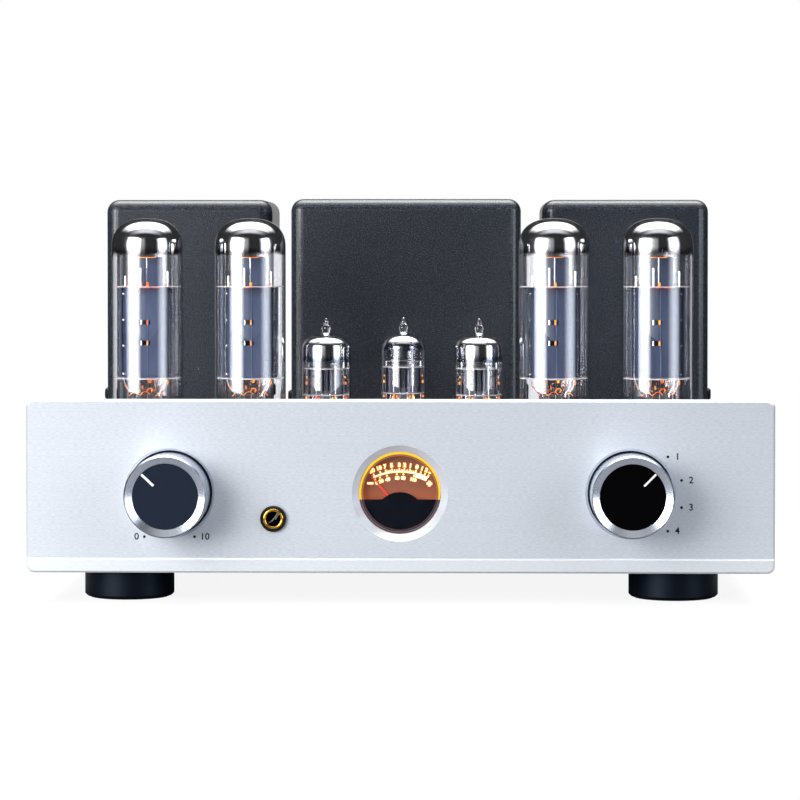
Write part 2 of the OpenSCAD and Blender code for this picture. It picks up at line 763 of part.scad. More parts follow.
// Moulded base: a cup that holds the glass, with a keyed spigot and eight pins
module power_tube_bases() color([0.05, 0.05, 0.05]) at_front() for (x = power_tube_xs)
    translate([x, power_tube_y, power_seat_z]) {
        outer_r = power_glass_r + fit + base_wall;
        rotate_extrude() polygon([
            [0, 0], [outer_r - 0.6, 0], [outer_r, 0.6], [outer_r, power_base_h - 0.8],
            [outer_r - 0.5, power_base_h], [power_glass_r + fit, power_base_h],
            [power_glass_r + fit, base_floor], [0, base_floor]
        ]);
        translate([0, 0, -octal_key_l]) cylinder(r = octal_key_r, h = octal_key_l + over);
        translate([octal_key_r, 0, -octal_key_l / 2 + over / 2])
            cube([2 * octal_ridge, octal_ridge, octal_key_l + over], center = true);
        for (i = [0:octal_pins - 1]) rotate(360 / octal_pins * (i + 0.5))
            translate([octal_pcd / 2, 0, -octal_pin_l]) cylinder(r = octal_pin_r, h = octal_pin_l + over);
    }

// Blown bulb of a power tube, open at the bottom where the stem seals it
module power_tube_glass(x) color([0.8, 0.85, 0.9, 0.4]) at_front() translate([x, power_tube_y, power_seat_z])
    rotate_extrude() polygon(concat(
        [[power_inner_r, base_floor], [power_glass_r, base_floor]],
        dome(power_glass_r, power_tube_h - power_dome_h, power_dome_h),
        reversed(dome(power_inner_r, power_tube_h - power_dome_h, power_dome_h - power_glass_wall))
    ));

module power_tube_1_glass() power_tube_glass(power_tube_xs[0]);
module power_tube_2_glass() power_tube_glass(power_tube_xs[1]);
module power_tube_3_glass() power_tube_glass(power_tube_xs[2]);
module power_tube_4_glass() power_tube_glass(power_tube_xs[3]);

module anode_sleeve(h) linear_extrude(h) difference() {
    union() {
        polygon(rounded(anode_w, anode_d, anode_d / 2 - 0.2));
        square([anode_wing_w, 2 * anode_wall], center = true);
    }
    polygon(rounded(anode_w - 2 * anode_wall, anode_d - 2 * anode_wall, anode_d / 2 - 0.2 - anode_wall));
}

// Everything inside a power tube: stem, two mica plates, winged plate, cathode, rods and fin box
module power_tube_mount(x) color("gray") at_front() translate([x, power_tube_y, power_seat_z]) {
    seal_r = power_inner_r - 0.1;
    mica_r = power_inner_r - 0.4;
    rotate_extrude() polygon([
        [0, base_floor], [seal_r, base_floor], [seal_r, base_floor + 1.2], [power_stem_r + 1, base_floor + 3],
        [power_stem_r, base_floor + 5], [power_stem_r, power_stem_h], [0, power_stem_h]
    ]);
    for (h = [power_mica_low, power_mica_high]) translate([0, 0, h]) cylinder(r = mica_r, h = mica_t);
    for (sx = [-1, 1], sy = [-1, 1]) translate([sx * rod_x, sy * rod_y, power_stem_h - 2])
        cylinder(r = rod_r, h = power_mica_high + 2 * mica_t - power_stem_h + 2);
    translate([0, 0, power_stem_h - 2])
        cylinder(r = cathode_r, h = power_mica_high + 3 * mica_t - power_stem_h + 2);
    difference() {
        translate([0, 0, power_mica_low + mica_t / 2]) anode_sleeve(power_mica_high - power_mica_low);
        for (h = anode_window_h) translate([0, 0, h])
            cube([anode_window[0], 2 * anode_d, anode_window[1]], center = true);
    }
    translate([0, 0, power_mica_high + mica_t / 2]) difference() {
        translate([0, 0, fin_box[2] / 2]) cube(fin_box, center = true);
        translate([0, 0, fin_box[2] / 2 - anode_wall])
            cube([fin_box[0] - 2 * anode_wall, fin_box[1] - 2 * anode_wall, fin_box[2]], center = true);
    }
}

module power_tube_1_mount() power_tube_mount(power_tube_xs[0]);
module power_tube_2_mount() power_tube_mount(power_tube_xs[1]);
module power_tube_3_mount() power_tube_mount(power_tube_xs[2]);
module power_tube_4_mount() power_tube_mount(power_tube_xs[3]);

// Blown bulb of a small tube with its drawn-off tip, open where the button base seals it
module small_tube_glass(i) color([0.8, 0.85, 0.9, 0.4]) at_front()
    translate([small_tube_xys[i][0], small_tube_xys[i][1], small_seat_z]) {
        r = small_glass_rs[i];
        h = small_dome_hs[i];
        in_r = r - small_glass_wall;
        rim = small_tube_h - h;
        tip_z = small_tube_h - 0.4;
        crown = [for (p = dome(r, rim, h)) if (p[0] > 2.4) p];
        rotate_extrude() polygon(concat(
            [[in_r, 0], [r, 0]],
            crown,
            [
                [1.9, tip_z + 1], [2.1, tip_z + 0.4 * tip_h], [1.5, tip_z + 0.6 * tip_h],
                [0.8, tip_z + 0.9 * tip_h], [0, tip_z + tip_h]
            ],
            reversed(dome(in_r, rim, h - small_glass_wall))
        ));
    }

module driver_tube_left_glass() small_tube_glass(0);
module input_tube_glass() small_tube_glass(1);
module driver_tube_right_glass() small_tube_glass(2);

// Everything inside a small tube: button base with pins, mica plates, two plates and rods
module small_tube_mount(i) color("gray") at_front()
    translate([small_tube_xys[i][0], small_tube_xys[i][1], small_seat_z]) {
        in_r = small_glass_rs[i] - small_glass_wall;
        cylinder(r = in_r - 0.1, h = button_t);
        for (k = [1:noval_slots - 1]) rotate(360 / noval_slots * k) translate([noval_pcd / 2, 0, -noval_pin_l])
            cylinder(r = noval_pin_r, h = noval_pin_l + button_t + over);
        for (h = [small_mica_low, small_mica_high]) translate([0, 0, h]) cylinder(r = in_r - 0.3, h = mica_t);
        for (s = [-1, 1]) {
            translate([s * small_rod_x, 0, button_t - over])
                cylinder(r = small_rod_r, h = small_mica_high + small_rod_top - button_t + over);
            translate([s * small_anode_x, 0, small_mica_low + mica_t / 2])
                linear_extrude(small_mica_high - small_mica_low) difference() {
                    polygon(rounded(small_anode[0], small_anode[1], 2));
                    polygon(rounded(
                        small_anode[0] - 2 * small_anode_wall, small_anode[1] - 2 * small_anode_wall,
                        2 - small_anode_wall
                    ));
                }
        }
        translate([-small_rod_x, -small_rod_r, small_mica_high + small_rod_top - 1])
            cube([2 * small_rod_x, 2 * small_rod_r, 0.6]);
    }

module driver_tube_left_mount() small_tube_mount(0);
module input_tube_mount() small_tube_mount(1);
module driver_tube_right_mount() small_tube_mount(2);

// Turned knob with a dished rim round its dark disc, bored for the shaft
module knob(x) at_front() translate([x, 0, control_z]) {
    back_y = knob_recess_t - knob_back_gap;
    edge = 0.6;
    y_revolve() polygon([
        [shaft_r + run_gap, back_y], [knob_r - edge, back_y], [knob_r, back_y - edge],
        [knob_r, -knob_proud + edge], [knob_r - edge, -knob_proud], [insert_r + fit, insert_y],
        [insert_r + fit, insert_y + insert_t], [0, insert_y + insert_t], [0, -shaft_in_knob],
        [shaft_r + run_gap, -shaft_in_knob]
    ]);
}

module knob_insert(x, pointer_a) at_front() translate([x, 0, control_z]) rotate([0, pointer_a, 0]) difference() {
    y_cylinder(insert_r, insert_y, insert_y + insert_t);
    translate([-pointer_w / 2, insert_y - over, insert_r - pointer_l])
        cube([pointer_w, over + 0.3, pointer_l + over]);
}

// Round shaft with a flat for the knob's grub screw
module control_shaft(x) at_front() translate([x, 0, control_z]) difference() {
    y_cylinder(shaft_r, -shaft_in_knob + 0.2, wall_y + shaft_in_body - 0.2);
    translate([-shaft_r, -shaft_in_knob, 0.7 * shaft_r])
        cube([2 * shaft_r, shaft_in_knob + knob_recess_t, shaft_r]);
}

// Threaded bush of a control, bored for its shaft down into the body
module control_bush() difference() {
    y_cylinder(bush_r, bush_front_y, wall_y + shaft_in_body + over);
    y_cylinder(shaft_r + run_gap, bush_front_y - over, wall_y + shaft_in_body);
}

module volume_knob() color("silver") knob(-knob_x);
module volume_insert() color([0.05, 0.06, 0.08]) knob_insert(-knob_x, volume_pointer_a);
module volume_shaft() color("lightgray") control_shaft(-knob_x);
module selector_knob() color("silver") knob(knob_x);
module selector_insert() color([0.03, 0.03, 0.03]) knob_insert(knob_x, selector_pointer_a);
module selector_shaft() color("lightgray") control_shaft(knob_x);

module volume_pot() color([0.15, 0.25, 0.2]) at_front() translate([-knob_x, 0, control_z]) {
    difference() {
        y_extrude(wall_y, wall_y + control_body_l) polygon(rounded(control_body_w, control_body_w, 3));
        y_cylinder(bush_r, wall_y - over, wall_y + shaft_in_body + over / 2);
    }
    control_bush();
}

module selector_switch() color([0.25, 0.2, 0.15]) at_front() translate([knob_x, 0, control_z]) {
    difference() {
        y_cylinder(switch_body_r - 1, wall_y, wall_y + control_body_l);
        y_cylinder(bush_r, wall_y - over, wall_y + shaft_in_body + over / 2);
    }
    control_bush();
}

module headphone_ring() color([0.05, 0.05, 0.05]) at_front() translate([jack_x, 0, jack_z]) y_revolve() polygon([
    [jack_sleeve_r + run_gap, 0], [jack_ring_d / 2, 0], [jack_ring_d / 2, -jack_ring_t + 0.5],
    [jack_ring_d / 2 - 0.5, -jack_ring_t], [jack_sleeve_r + run_gap, -jack_ring_t]
]);

module headphone_sleeve() color("gold") at_front() translate([jack_x, 0, jack_z]) difference() {
    y_cylinder(jack_sleeve_r, jack_set_back - jack_ring_t, wall_y + jack_seat);
    y_cylinder(jack_r, -jack_ring_t - over, wall_y + jack_seat + over);
}

module headphone_body() color([0.08, 0.08, 0.08]) at_front() translate([jack_x, 0, jack_z]) difference() {
    y_extrude(wall_y, wall_y + jack_body_l) polygon(rounded(jack_body_w, jack_body_h, 1));
    y_cylinder(jack_sleeve_r + run_gap, wall_y - over, wall_y + jack_seat);
    y_cylinder(jack_r, wall_y, wall_y + jack_body_l - 1.5);
}

// Clear cup in the bevelled opening, seated on the can's shoulder
module meter_lens() color([0.9, 0.85, 0.7, 0.3]) at_front() translate([0, 0, control_z]) y_revolve() polygon([
    [0, lens_y], [lens_r, lens_y], [lens_r, lens_back_y], [lens_in_r, lens_back_y],
    [lens_in_r, lens_y + lens_t], [0, lens_y + lens_t]
]);

module meter_can() color([0.06, 0.06, 0.06]) at_front() translate([0, 0, control_z]) y_revolve() polygon([
    [lens_r + fit, panel_t], [can_r, panel_t], [can_r, can_back_y], [0, can_back_y],
    [0, can_back_y - can_wall], [collar_in_r, can_back_y - can_wall], [collar_in_r, face_y + face_t],
    [collar_r, face_y + face_t], [collar_r, lens_back_y], [lens_r + fit, lens_back_y]
]);

module meter_face() color("orange") at_front() difference() {
    translate([0, 0, control_z]) y_cylinder(collar_r, face_y, face_y + face_t);
    translate([0, 0, pivot_z]) y_cylinder(2 * needle_hub_r, face_y - over, face_y + face_t + over);
}

// Dark mask with its rounded hump over the needle's pivot, on two posts
module meter_mask() color([0.05, 0.05, 0.07]) at_front() {
    y_extrude(mask_y, mask_y + mask_t) intersection() {
        translate([0, control_z]) circle(collar_r);
        union() {
            translate([-collar_r, control_z - 2 * collar_r - mask_drop]) square(2 * collar_r);
            translate([0, hump_z]) circle(hump_r);
        }
    }
    for (s = [-1, 1]) translate([s * 0.7 * collar_r, 0, pivot_z - 2])
        y_cylinder(1, mask_y + mask_t / 2, face_y);
}

// Balanced needle on its staff
module meter_needle() color("red") at_front() translate([0, 0, pivot_z]) rotate([0, needle_rest_a, 0]) {
    y_extrude(needle_y, needle_y + needle_t)
        polygon([[-0.5, 0], [0.5, 0], [0.22, needle_l], [-0.22, needle_l]]);
    y_extrude(needle_y, needle_y + needle_t) translate([-0.8, -5.8]) square([1.6, 5.8]);
    y_extrude(needle_y - 0.4, needle_y - 0.4 + weight_t) translate([-2, -5.8]) square([4, 2.6]);
    y_cylinder(needle_hub_r, needle_y - 0.4, needle_y + weight_t);
    y_cylinder(needle_shaft_r, needle_y, needle_y + needle_shaft_l);
}

module meter_movement() color([0.4, 0.4, 0.42]) at_front() translate([0, 0, pivot_z]) difference() {
    y_cylinder(movement_r, movement_y, can_back_y - can_wall);
    y_cylinder(needle_shaft_r + run_gap, movement_y - over, needle_y + needle_shaft_l + 0.4);
}

module main_board() color("darkgreen") at_front()
    translate([-board_w / 2, board_y, base_z + sheet_t + boss_h]) cube([board_w, board_d, board_t]);

module filter_capacitors() color([0.1, 0.12, 0.2]) at_front() for (p = cap_xys)
    translate([p[0], p[1], base_z + sheet_t + boss_h + board_t]) rotate_extrude() polygon([
        [0, 0], [can_cap_r, 0], [can_cap_r, can_cap_h - 0.8], [can_cap_r - 0.8, can_cap_h], [0, can_cap_h]
    ]);

// Shoulder washers that insulate a post on both sides of the back wall
module post_insulators() color([0.08, 0.08, 0.08]) at_front() for (x = post_xs) translate([x, 0, back_z]) {
    bore = post_stud_r + run_gap;
    y_revolve() polygon([
        [bore, back_in_y + run_gap], [post_spigot_r, back_in_y + run_gap], [post_spigot_r, back_y],
        [post_collar_r, back_y],
        [post_collar_r, back_y + post_collar_t - 0.5], [post_collar_r - 0.5, back_y + post_collar_t],
        [bore, back_y + post_collar_t]
    ]);
    y_revolve() polygon([
        [bore, back_in_y - post_washer_t], [post_collar_r, back_in_y - post_washer_t],
        [post_collar_r, back_in_y], [bore, back_in_y]
    ]);
}

// Studs with a plug bore in the end, each with its nut inside the chassis
module post_studs() color("gold") at_front() for (x = post_xs) translate([x, 0, back_z]) {
    end_y = back_y + post_proud;
    difference() {
        y_cylinder(post_stud_r, back_in_y - post_in_l, end_y);
        y_cylinder(post_bore_d / 2, end_y - post_bore_l, end_y + over);
    }
    hex_nut(2 * post_nut_r * cos(30), post_stud_r + run_gap, back_in_y - post_washer_t - post_nut_t, post_nut_t);
}

// Fluted cap that turns on its stud
module post_cap(i) color(i % 3 == 0 ? [0.05, 0.05, 0.05] : [0.6, 0.05, 0.05]) at_front()
    translate([post_xs[i], 0, back_z])
        y_extrude(back_y + post_collar_t + post_cap_gap, back_y + post_proud - post_end_gap) difference() {
            circle(post_cap_d / 2);
            circle(post_stud_r + run_gap);
            for (k = [0:post_flutes - 1]) rotate(360 / post_flutes * k)
                translate([post_cap_d / 2 + post_flute_r / 3, 0]) circle(post_flute_r);
        }

module post_cap_1() post_cap(0);
module post_cap_2() post_cap(1);
module post_cap_3() post_cap(2);
module post_cap_4() post_cap(3);
module post_cap_5() post_cap(4);
module post_cap_6() post_cap(5);

// Each jack is a plated shell, an insulating washer and an insulating core with a pin hole
module input_jacks() color("gold") at_front() for (p = input_xzs) translate([p[0], 0, p[1]]) {
    flange_y = back_y + input_washer_t;
    end_y = flange_y + input_flange_t + input_barrel_l;
    y_revolve() polygon([
        [input_core_r, back_in_y - input_in_l], [input_in_r, back_in_y - input_in_l], [input_in_r, flange_y],
        [input_flange_r, flange_y], [input_flange_r, flange_y + input_flange_t],
        [input_barrel_r, flange_y + input_flange_t], [input_barrel_r, end_y], [input_core_r, end_y]
    ]);
    y_revolve() polygon([
        [input_in_r + run_gap, back_in_y], [input_in_r + 0.6, back_in_y], [input_in_r + 0.6, back_y],
        [input_washer_r, back_y], [input_washer_r, flange_y - run_gap], [input_in_r + run_gap, flange_y - run_gap]
    ]);
    y_revolve() polygon([
        [input_pin_r, back_in_y - input_in_l], [input_core_r - run_gap, back_in_y - input_in_l],
        [input_core_r - run_gap, end_y - 0.4], [input_pin_r, end_y - 0.4]
    ]);
}

// Appliance inlet with cut corners at the top of its mouth and three blades
module mains_inlet() color([0.06, 0.06, 0.06]) at_front() translate([inlet_x, 0, back_z]) {
    mouth_y = back_y + inlet_flange_t - inlet_mouth_l;
    w = inlet_mouth[0] / 2;
    h = inlet_mouth[1] / 2;
    difference() {
        union() {
            y_extrude(back_y, back_y + inlet_flange_t) polygon(rounded(inlet_flange[0], inlet_flange[1], 5));
            y_extrude(back_y - inlet_body_l, back_y + over) square(inlet_body, center = true);
        }
        y_extrude(mouth_y, back_y + inlet_flange_t + over)
            polygon([[-w, -h], [w, -h], [w, h - inlet_cut], [w - inlet_cut, h], [inlet_cut - w, h], [-w, h - inlet_cut]]);
        for (s = [-1, 1]) translate([s * inlet_screw_x, 0, 0])
            y_cylinder(inlet_screw_r + screw_gap, back_y - over, back_y + inlet_flange_t + over);
    }
    for (i = [-1:1]) translate([
        i * inlet_pin_x - inlet_pin[0] / 2, mouth_y - over, (i == 0 ? inlet_pin_z : -inlet_pin_z) - inlet_pin[2] / 2
    ]) cube([inlet_pin[0], inlet_pin[1] + over, inlet_pin[2]]);
}

module power_switch() color([0.05, 0.05, 0.05]) at_front() translate([switch_x, 0, back_z]) difference() {
    union() {
        y_extrude(back_y, back_y + switch_flange_t) polygon(rounded(switch_flange[0], switch_flange[1], 1.5));
        y_extrude(back_y - switch_body_l, back_y + over) square(switch_body, center = true);
    }
    y_extrude(back_y + switch_flange_t - switch_mouth_l, back_y + switch_flange_t + over)
        square(switch_mouth, center = true);
    translate([-switch_body[0] / 2 + 0.5, rocker_pivot_y, 0]) rotate([0, 90, 0])
        cylinder(r = trunnion_r + run_gap, h = switch_body[0] - 1);
}

// See-saw rocker on two trunnions, pressed in at the top
module power_rocker() color([0.12, 0.12, 0.12]) at_front() translate([switch_x, rocker_pivot_y, back_z])
    rotate([rocker_tilt, 0, 0]) {
        rotate([90, 0, 90]) linear_extrude(rocker_w, center = true) polygon([
            [rocker_lip, rocker_reach], [rocker_waist, 0], [rocker_lip, -rocker_reach],
            [0, -rocker_reach], [-rocker_keel, 0], [0, rocker_reach]
        ]);
        rotate([0, 90, 0]) cylinder(r = trunnion_r, h = rocker_w + 2 * trunnion_l, center = true);
    }

front_panel();
chassis_shell();
chassis_ends();
bottom_plate();
feet();
foot_pads();
chassis_fasteners();
left_output_cover();
power_supply_cover();
right_output_cover();
cover_screws();
transformer_cores();
transformer_coils();
tube_sockets();
power_tube_bases();
power_tube_1_glass();
power_tube_2_glass();
power_tube_3_glass();
power_tube_4_glass();
power_tube_1_mount();
power_tube_2_mount();
power_tube_3_mount();
power_tube_4_mount();
driver_tube_left_glass();
input_tube_glass();
driver_tube_right_glass();
driver_tube_left_mount();
input_tube_mount();
driver_tube_right_mount();
volume_knob();
volume_insert();
volume_shaft();
volume_pot();
selector_knob();
selector_insert();
selector_shaft();
selector_switch();
headphone_ring();
headphone_sleeve();
headphone_body();
meter_lens();
meter_can();
meter_face();
meter_mask();
meter_needle();
meter_movement();
main_board();
filter_capacitors();
post_insulators();
post_studs();
post_cap_1();
post_cap_2();
post_cap_3();
post_cap_4();
post_cap_5();
post_cap_6();
input_jacks();
mains_inlet();
power_switch();
power_rocker();
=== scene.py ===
# Tube integrated amplifier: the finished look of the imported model, in the model's own frame.
import math

import bmesh
import bpy
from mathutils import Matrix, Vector


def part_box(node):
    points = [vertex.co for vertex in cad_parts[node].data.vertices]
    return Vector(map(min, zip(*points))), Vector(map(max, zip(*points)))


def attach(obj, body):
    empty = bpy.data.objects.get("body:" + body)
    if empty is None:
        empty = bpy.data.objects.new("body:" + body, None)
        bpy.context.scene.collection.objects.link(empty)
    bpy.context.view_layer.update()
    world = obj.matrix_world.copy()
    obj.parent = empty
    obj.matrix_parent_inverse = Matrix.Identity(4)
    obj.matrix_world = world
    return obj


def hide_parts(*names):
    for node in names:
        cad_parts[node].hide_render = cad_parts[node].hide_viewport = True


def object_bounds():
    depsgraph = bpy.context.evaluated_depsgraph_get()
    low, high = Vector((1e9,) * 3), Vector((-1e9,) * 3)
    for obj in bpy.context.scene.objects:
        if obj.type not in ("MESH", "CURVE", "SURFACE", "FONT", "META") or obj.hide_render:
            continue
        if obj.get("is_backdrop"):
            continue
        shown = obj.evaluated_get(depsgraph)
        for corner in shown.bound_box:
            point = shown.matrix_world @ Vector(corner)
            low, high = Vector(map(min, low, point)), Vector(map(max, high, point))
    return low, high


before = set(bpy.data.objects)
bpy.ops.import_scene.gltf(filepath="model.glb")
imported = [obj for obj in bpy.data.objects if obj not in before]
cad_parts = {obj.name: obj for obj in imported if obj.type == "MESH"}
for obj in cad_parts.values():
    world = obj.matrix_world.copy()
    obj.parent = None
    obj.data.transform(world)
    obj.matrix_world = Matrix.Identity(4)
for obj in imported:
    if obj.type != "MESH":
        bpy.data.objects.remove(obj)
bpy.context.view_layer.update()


# Chassis: a folded sheet-steel box with a screwed bottom plate, powder coated a fine matt
# charcoal. The circuit board and its filter capacitors sit inside it.
MM = 0.001


class Wire:
    """A socket of a material's nodes. Sums and products of wires and numbers add Math nodes."""

    def __init__(self, socket):
        self.socket = socket

    def node(self, kind, settings=None, sockets=None, out=0):
        """Another node in the same material: its settings first, then the values or links of its sockets."""
        tree = self.socket.id_data
        made = tree.nodes.new("ShaderNode" + kind)
        for name, value in (settings or {}).items():
            if name == "stops":
                ramp = made.color_ramp.elements
                while len(ramp) < len(value):
                    ramp.new(1.0)
                for element, (position, colour) in zip(ramp, value):
                    element.position = position
                    element.color = colour
            else:
                setattr(made, name, value)
        for key, value in (sockets or {}).items():
            if isinstance(value, Wire):
                tree.links.new(value.socket, made.inputs[key])
            else:
                made.inputs[key].default_value = value
        return Wire(made.outputs[out])

    def maths(self, operation, other=0.0):
        return self.node("Math", {"operation": operation}, {0: self, 1: other})

    def __add__(self, other):
        return self.maths("ADD", other)

    def __sub__(self, other):
        return self.maths("SUBTRACT", other)

    def __rsub__(self, other):
        return self.node("Math", {"operation": "SUBTRACT"}, {0: other, 1: self})

    def __mul__(self, other):
        return self.maths("MULTIPLY", other)

    def __truediv__(self, other):
        return self.maths("DIVIDE", other)

    __radd__ = __add__
    __rmul__ = __mul__

    def step(self, low, high):
        """0 below low and 1 above high, with a soft change between."""
        return self.node("MapRange", {"interpolation_type": "SMOOTHSTEP"}, {0: self, 1: low, 2: high})

    def blend(self, a, b):
        """Colour a where this wire is 0, colour b where it is 1."""
        return self.node("Mix", {"data_type": "RGBA"}, {0: self, 6: a, 7: b}, out=2)

    def axis(self, letter):
        return self.node("SeparateXYZ", None, {0: self}, out="XYZ".index(letter))

    def grain(self, size, stretch=(1.0, 1.0, 1.0), detail=2.0):
        """Noise over a place wire in mm, its lumps about this size, drawn out along each axis by stretch."""
        scaled_place = self.node("VectorMath", {"operation": "DIVIDE"}, {0: self, 1: stretch})
        return self.node("TexNoise", None, {"Vector": scaled_place, "Scale": 1.0 / size, "Detail": detail})

    def dents(self, depth, strength=1.0):
        """Bump whose height is this wire times a depth in mm."""
        return self.node("Bump", None, {"Strength": strength, "Distance": depth * MM, "Height": self})


def tint(red, green, blue):
    """Colour as seen on a screen, 0 to 255, as the linear colour that a shader takes."""
    linear = [c / 3294.6 if c <= 10 else ((c / 255 + 0.055) / 1.055) ** 2.4 for c in (red, green, blue)]
    return (*linear, 1.0)


def scaled(colour, share):
    """Colour with this share of its light."""
    return (*(c * share for c in colour[:3]), 1.0)


def finish(name, values):
    """New material with these values on its shader. Returns it and a wire of the place in mm."""
    material = bpy.data.materials.new(name)
    material.use_nodes = True
    nodes = material.node_tree.nodes
    for socket, value in values.items():
        nodes["Principled BSDF"].inputs[socket].default_value = value
    place = Wire(nodes.new("ShaderNodeTexCoord").outputs["Object"])
    return material, place.node("VectorMath", {"operation": "SCALE"}, {0: place, "Scale": 1 / MM})


def feed(material, **wires):
    """Links wires into the material's shader, named as its sockets with _ for a space."""
    tree = material.node_tree
    for socket, wire in wires.items():
        tree.links.new(wire.socket, tree.nodes["Principled BSDF"].inputs[socket.replace("_", " ")])


def dress(material, *nodes):
    """Gives CAD nodes a finish and leaves their shape as it is."""
    for node in nodes:
        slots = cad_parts[node].data.materials
        slots.clear()
        slots.append(material)


def powder_coat(name, colour, flake, roughness):
    """Baked powder coat: an orange-peel skin with fine pale flakes in it."""
    material, place = finish(name, {"Specular IOR Level": 0.55})
    peel = place.grain(0.9, detail=3.0)
    cloud = place.grain(26.0, detail=1.0)
    flakes = place.grain(0.5).step(0.46, 0.84)
    shade = cloud.blend(scaled(colour, 0.9), scaled(colour, 1.1))
    feed(material, Base_Color=flakes.blend(shade, flake), Roughness=peel * 0.12 + roughness,
         Normal=peel.dents(0.05, 0.35))
    return material


chassis_coat = powder_coat("chassis_coat", tint(44, 46, 51), tint(78, 81, 88), 0.42)
dress(chassis_coat, "chassis_shell", "chassis_ends", "bottom_plate")

laminate, place = finish("board_laminate", {"Roughness": 0.35, "Coat Weight": 0.3})
tracks = place.grain(3.0, (4.0, 1.0, 1.0), 0.0).step(0.52, 0.55)
feed(laminate, Base_Color=tracks.blend(tint(18, 62, 40), tint(32, 92, 58)))
dress(laminate, "main_board")

can_sleeve, place = finish("capacitor_sleeve", {"Roughness": 0.3})
stripe = place.axis("X").maths("PINGPONG", 8.0).step(6.4, 6.6)
feed(can_sleeve, Base_Color=stripe.blend(tint(24, 30, 46), tint(150, 155, 165)))
dress(can_sleeve, "filter_capacitors")


# Feet: turned black plastic discs with a rubber pad let into the underside, each held by a
# countersunk screw through the bottom plate.
foot_plastic, place = finish("foot_plastic", {
    "Specular IOR Level": 0.22, "Specular Tint": (0.55, 0.72, 1.0, 1.0)})
lathe_marks = place.axis("Z").maths("PINGPONG", 0.35)
feed(foot_plastic, Base_Color=place.grain(9.0).blend(tint(4, 7, 13), tint(9, 13, 21)),
     Roughness=place.grain(2.0, detail=3.0) * 0.12 + 0.33, Normal=lathe_marks.dents(0.03, 0.4))
dress(foot_plastic, "feet")

pad_rubber, place = finish("pad_rubber", {"Roughness": 0.85})
feed(pad_rubber, Base_Color=place.grain(1.5).blend(tint(14, 14, 15), tint(27, 27, 28)),
     Normal=place.grain(0.6).dents(0.06, 0.6))
dress(pad_rubber, "foot_pads")


def grained(name, values, lump, dark, light, wear=None, detail=2.0):
    """Finish that drifts between two colours in lumps. Wear is the grain, spread and least of its roughness."""
    material, place = finish(name, values)
    feed(material, Base_Color=place.grain(lump).blend(dark, light))
    if wear:
        size, spread, least = wear
        feed(material, Roughness=place.grain(size, detail=detail) * spread + least)
    return material


zinc = grained("zinc_steel", {"Metallic": 1.0}, 4.0, tint(150, 152, 156), tint(190, 192, 194),
               (1.0, 0.25, 0.25), 3.0)
dress(zinc, "chassis_fasteners")


# Front panel: a thick extruded aluminium plate, brushed along its length and clear anodised,
# with a V groove, two turned recesses for the knobs and a bevelled window for the meter.
LIP_TOP, EDGE_BLUR = 6.9, 0.1
RECESS_GAP, WINDOW_BEVEL = 2.4, 4.0
CUT_DEPTH, PAINTED_SHADE_DEPTH = (0.02, 0.06), (1.4, 2.2)


def box_mm(node):
    """Low and high corner of a CAD node in mm."""
    return [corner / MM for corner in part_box(node)]


def from_axis(place, centre):
    """Distance in mm from a line that runs from front to back through a centre."""
    flat = place.node("VectorMath", {"operation": "MULTIPLY"}, {0: place, 1: (1.0, 0.0, 1.0)})
    return flat.node("VectorMath", {"operation": "DISTANCE"}, {0: flat, 1: (centre.x, 0.0, centre.z)}, out=1)


def beyond(place, node, reach):
    """1 outside a circle this far off a round piece seen from the front, 0 inside it."""
    low, high = box_mm(node)
    edge = (high.x - low.x) / 2 + reach
    return from_axis(place, (low + high) / 2).step(edge, edge + EDGE_BLUR)


panel_low = box_mm("front_panel")[0]
panel_y, lip_z = panel_low.y, panel_low.z + LIP_TOP
brushed, place = finish("brushed_panel", {"Anisotropic": 0.75, "Anisotropic Rotation": 0.25})
strokes = place.grain(0.25, (8.0, 1.0, 1.0))
bands = place.grain(0.5, (120.0, 1.0, 1.0), 1.0)
lip = 1 - place.axis("Z").step(lip_z - EDGE_BLUR, lip_z + EDGE_BLUR)
satin = (strokes * 0.85 + bands * 0.15).step(0.28, 0.72)
off_knobs = beyond(place, "volume_knob", RECESS_GAP) * beyond(place, "selector_knob", RECESS_GAP)
depth = place.axis("Y") - panel_y
cut_edge = (1 - off_knobs * beyond(place, "meter_lens", WINDOW_BEVEL)) * depth.step(*CUT_DEPTH)
# Painted shade: deeper than the bevel, the knob recesses turn dark grey, where shade falls in the gap round each
# knob.
shade = (1 - off_knobs) * depth.step(*PAINTED_SHADE_DEPTH)
colour = lip.blend(satin.blend(tint(212, 218, 226), tint(231, 236, 243)),
                   satin.blend(tint(234, 239, 245), tint(246, 250, 254)))
feed(brushed, Base_Color=shade.blend(cut_edge.blend(colour, tint(238, 242, 248)), tint(58, 61, 68)),
     Metallic=cut_edge * 0.16 + 0.42, Roughness=(strokes * 0.12 + 0.38) * (1 - cut_edge) + cut_edge * 0.27,
     Normal=strokes.dents(0.006, 0.3))
dress(brushed, "front_panel")


# Markings on the panel: small figures and dots screen printed in dark grey, which stand a
# paint film's thickness above the metal.
INK_FILM, INK_BOLD, FIGURE_H, DOT_R = 0.03, 0.07, 3.0, 0.62
FIGURE_SHARE = 0.72  # height of a figure, as a share of the type's size
# Each figure's angle about its knob, the radius of its dot's place and its own distance to the right of the dot.
VOLUME_ENDS = {"0": (-150, 22.2, -3.4), "10": (150, 22.2, 4.6)}
SOURCES = {str(number + 1): (45 + 30 * number, 23.1, 4.2) for number in range(4)}


def ring_of(count):
    return [(math.cos(math.tau * i / count), math.sin(math.tau * i / count)) for i in range(count)]


def slab(outline, low, high, along="Y"):
    """Flat outline raised from low to high along an axis; its points are on the other two axes in order."""
    spot = "XYZ".index(along)
    count = len(outline)
    points = [(*point[:spot], level, *point[spot:]) for level in (low, high) for point in outline]
    sides = [[i, (i + 1) % count, (i + 1) % count + count, i + count] for i in range(count)]
    return points, [list(range(count))[::-1], list(range(count, 2 * count))] + sides


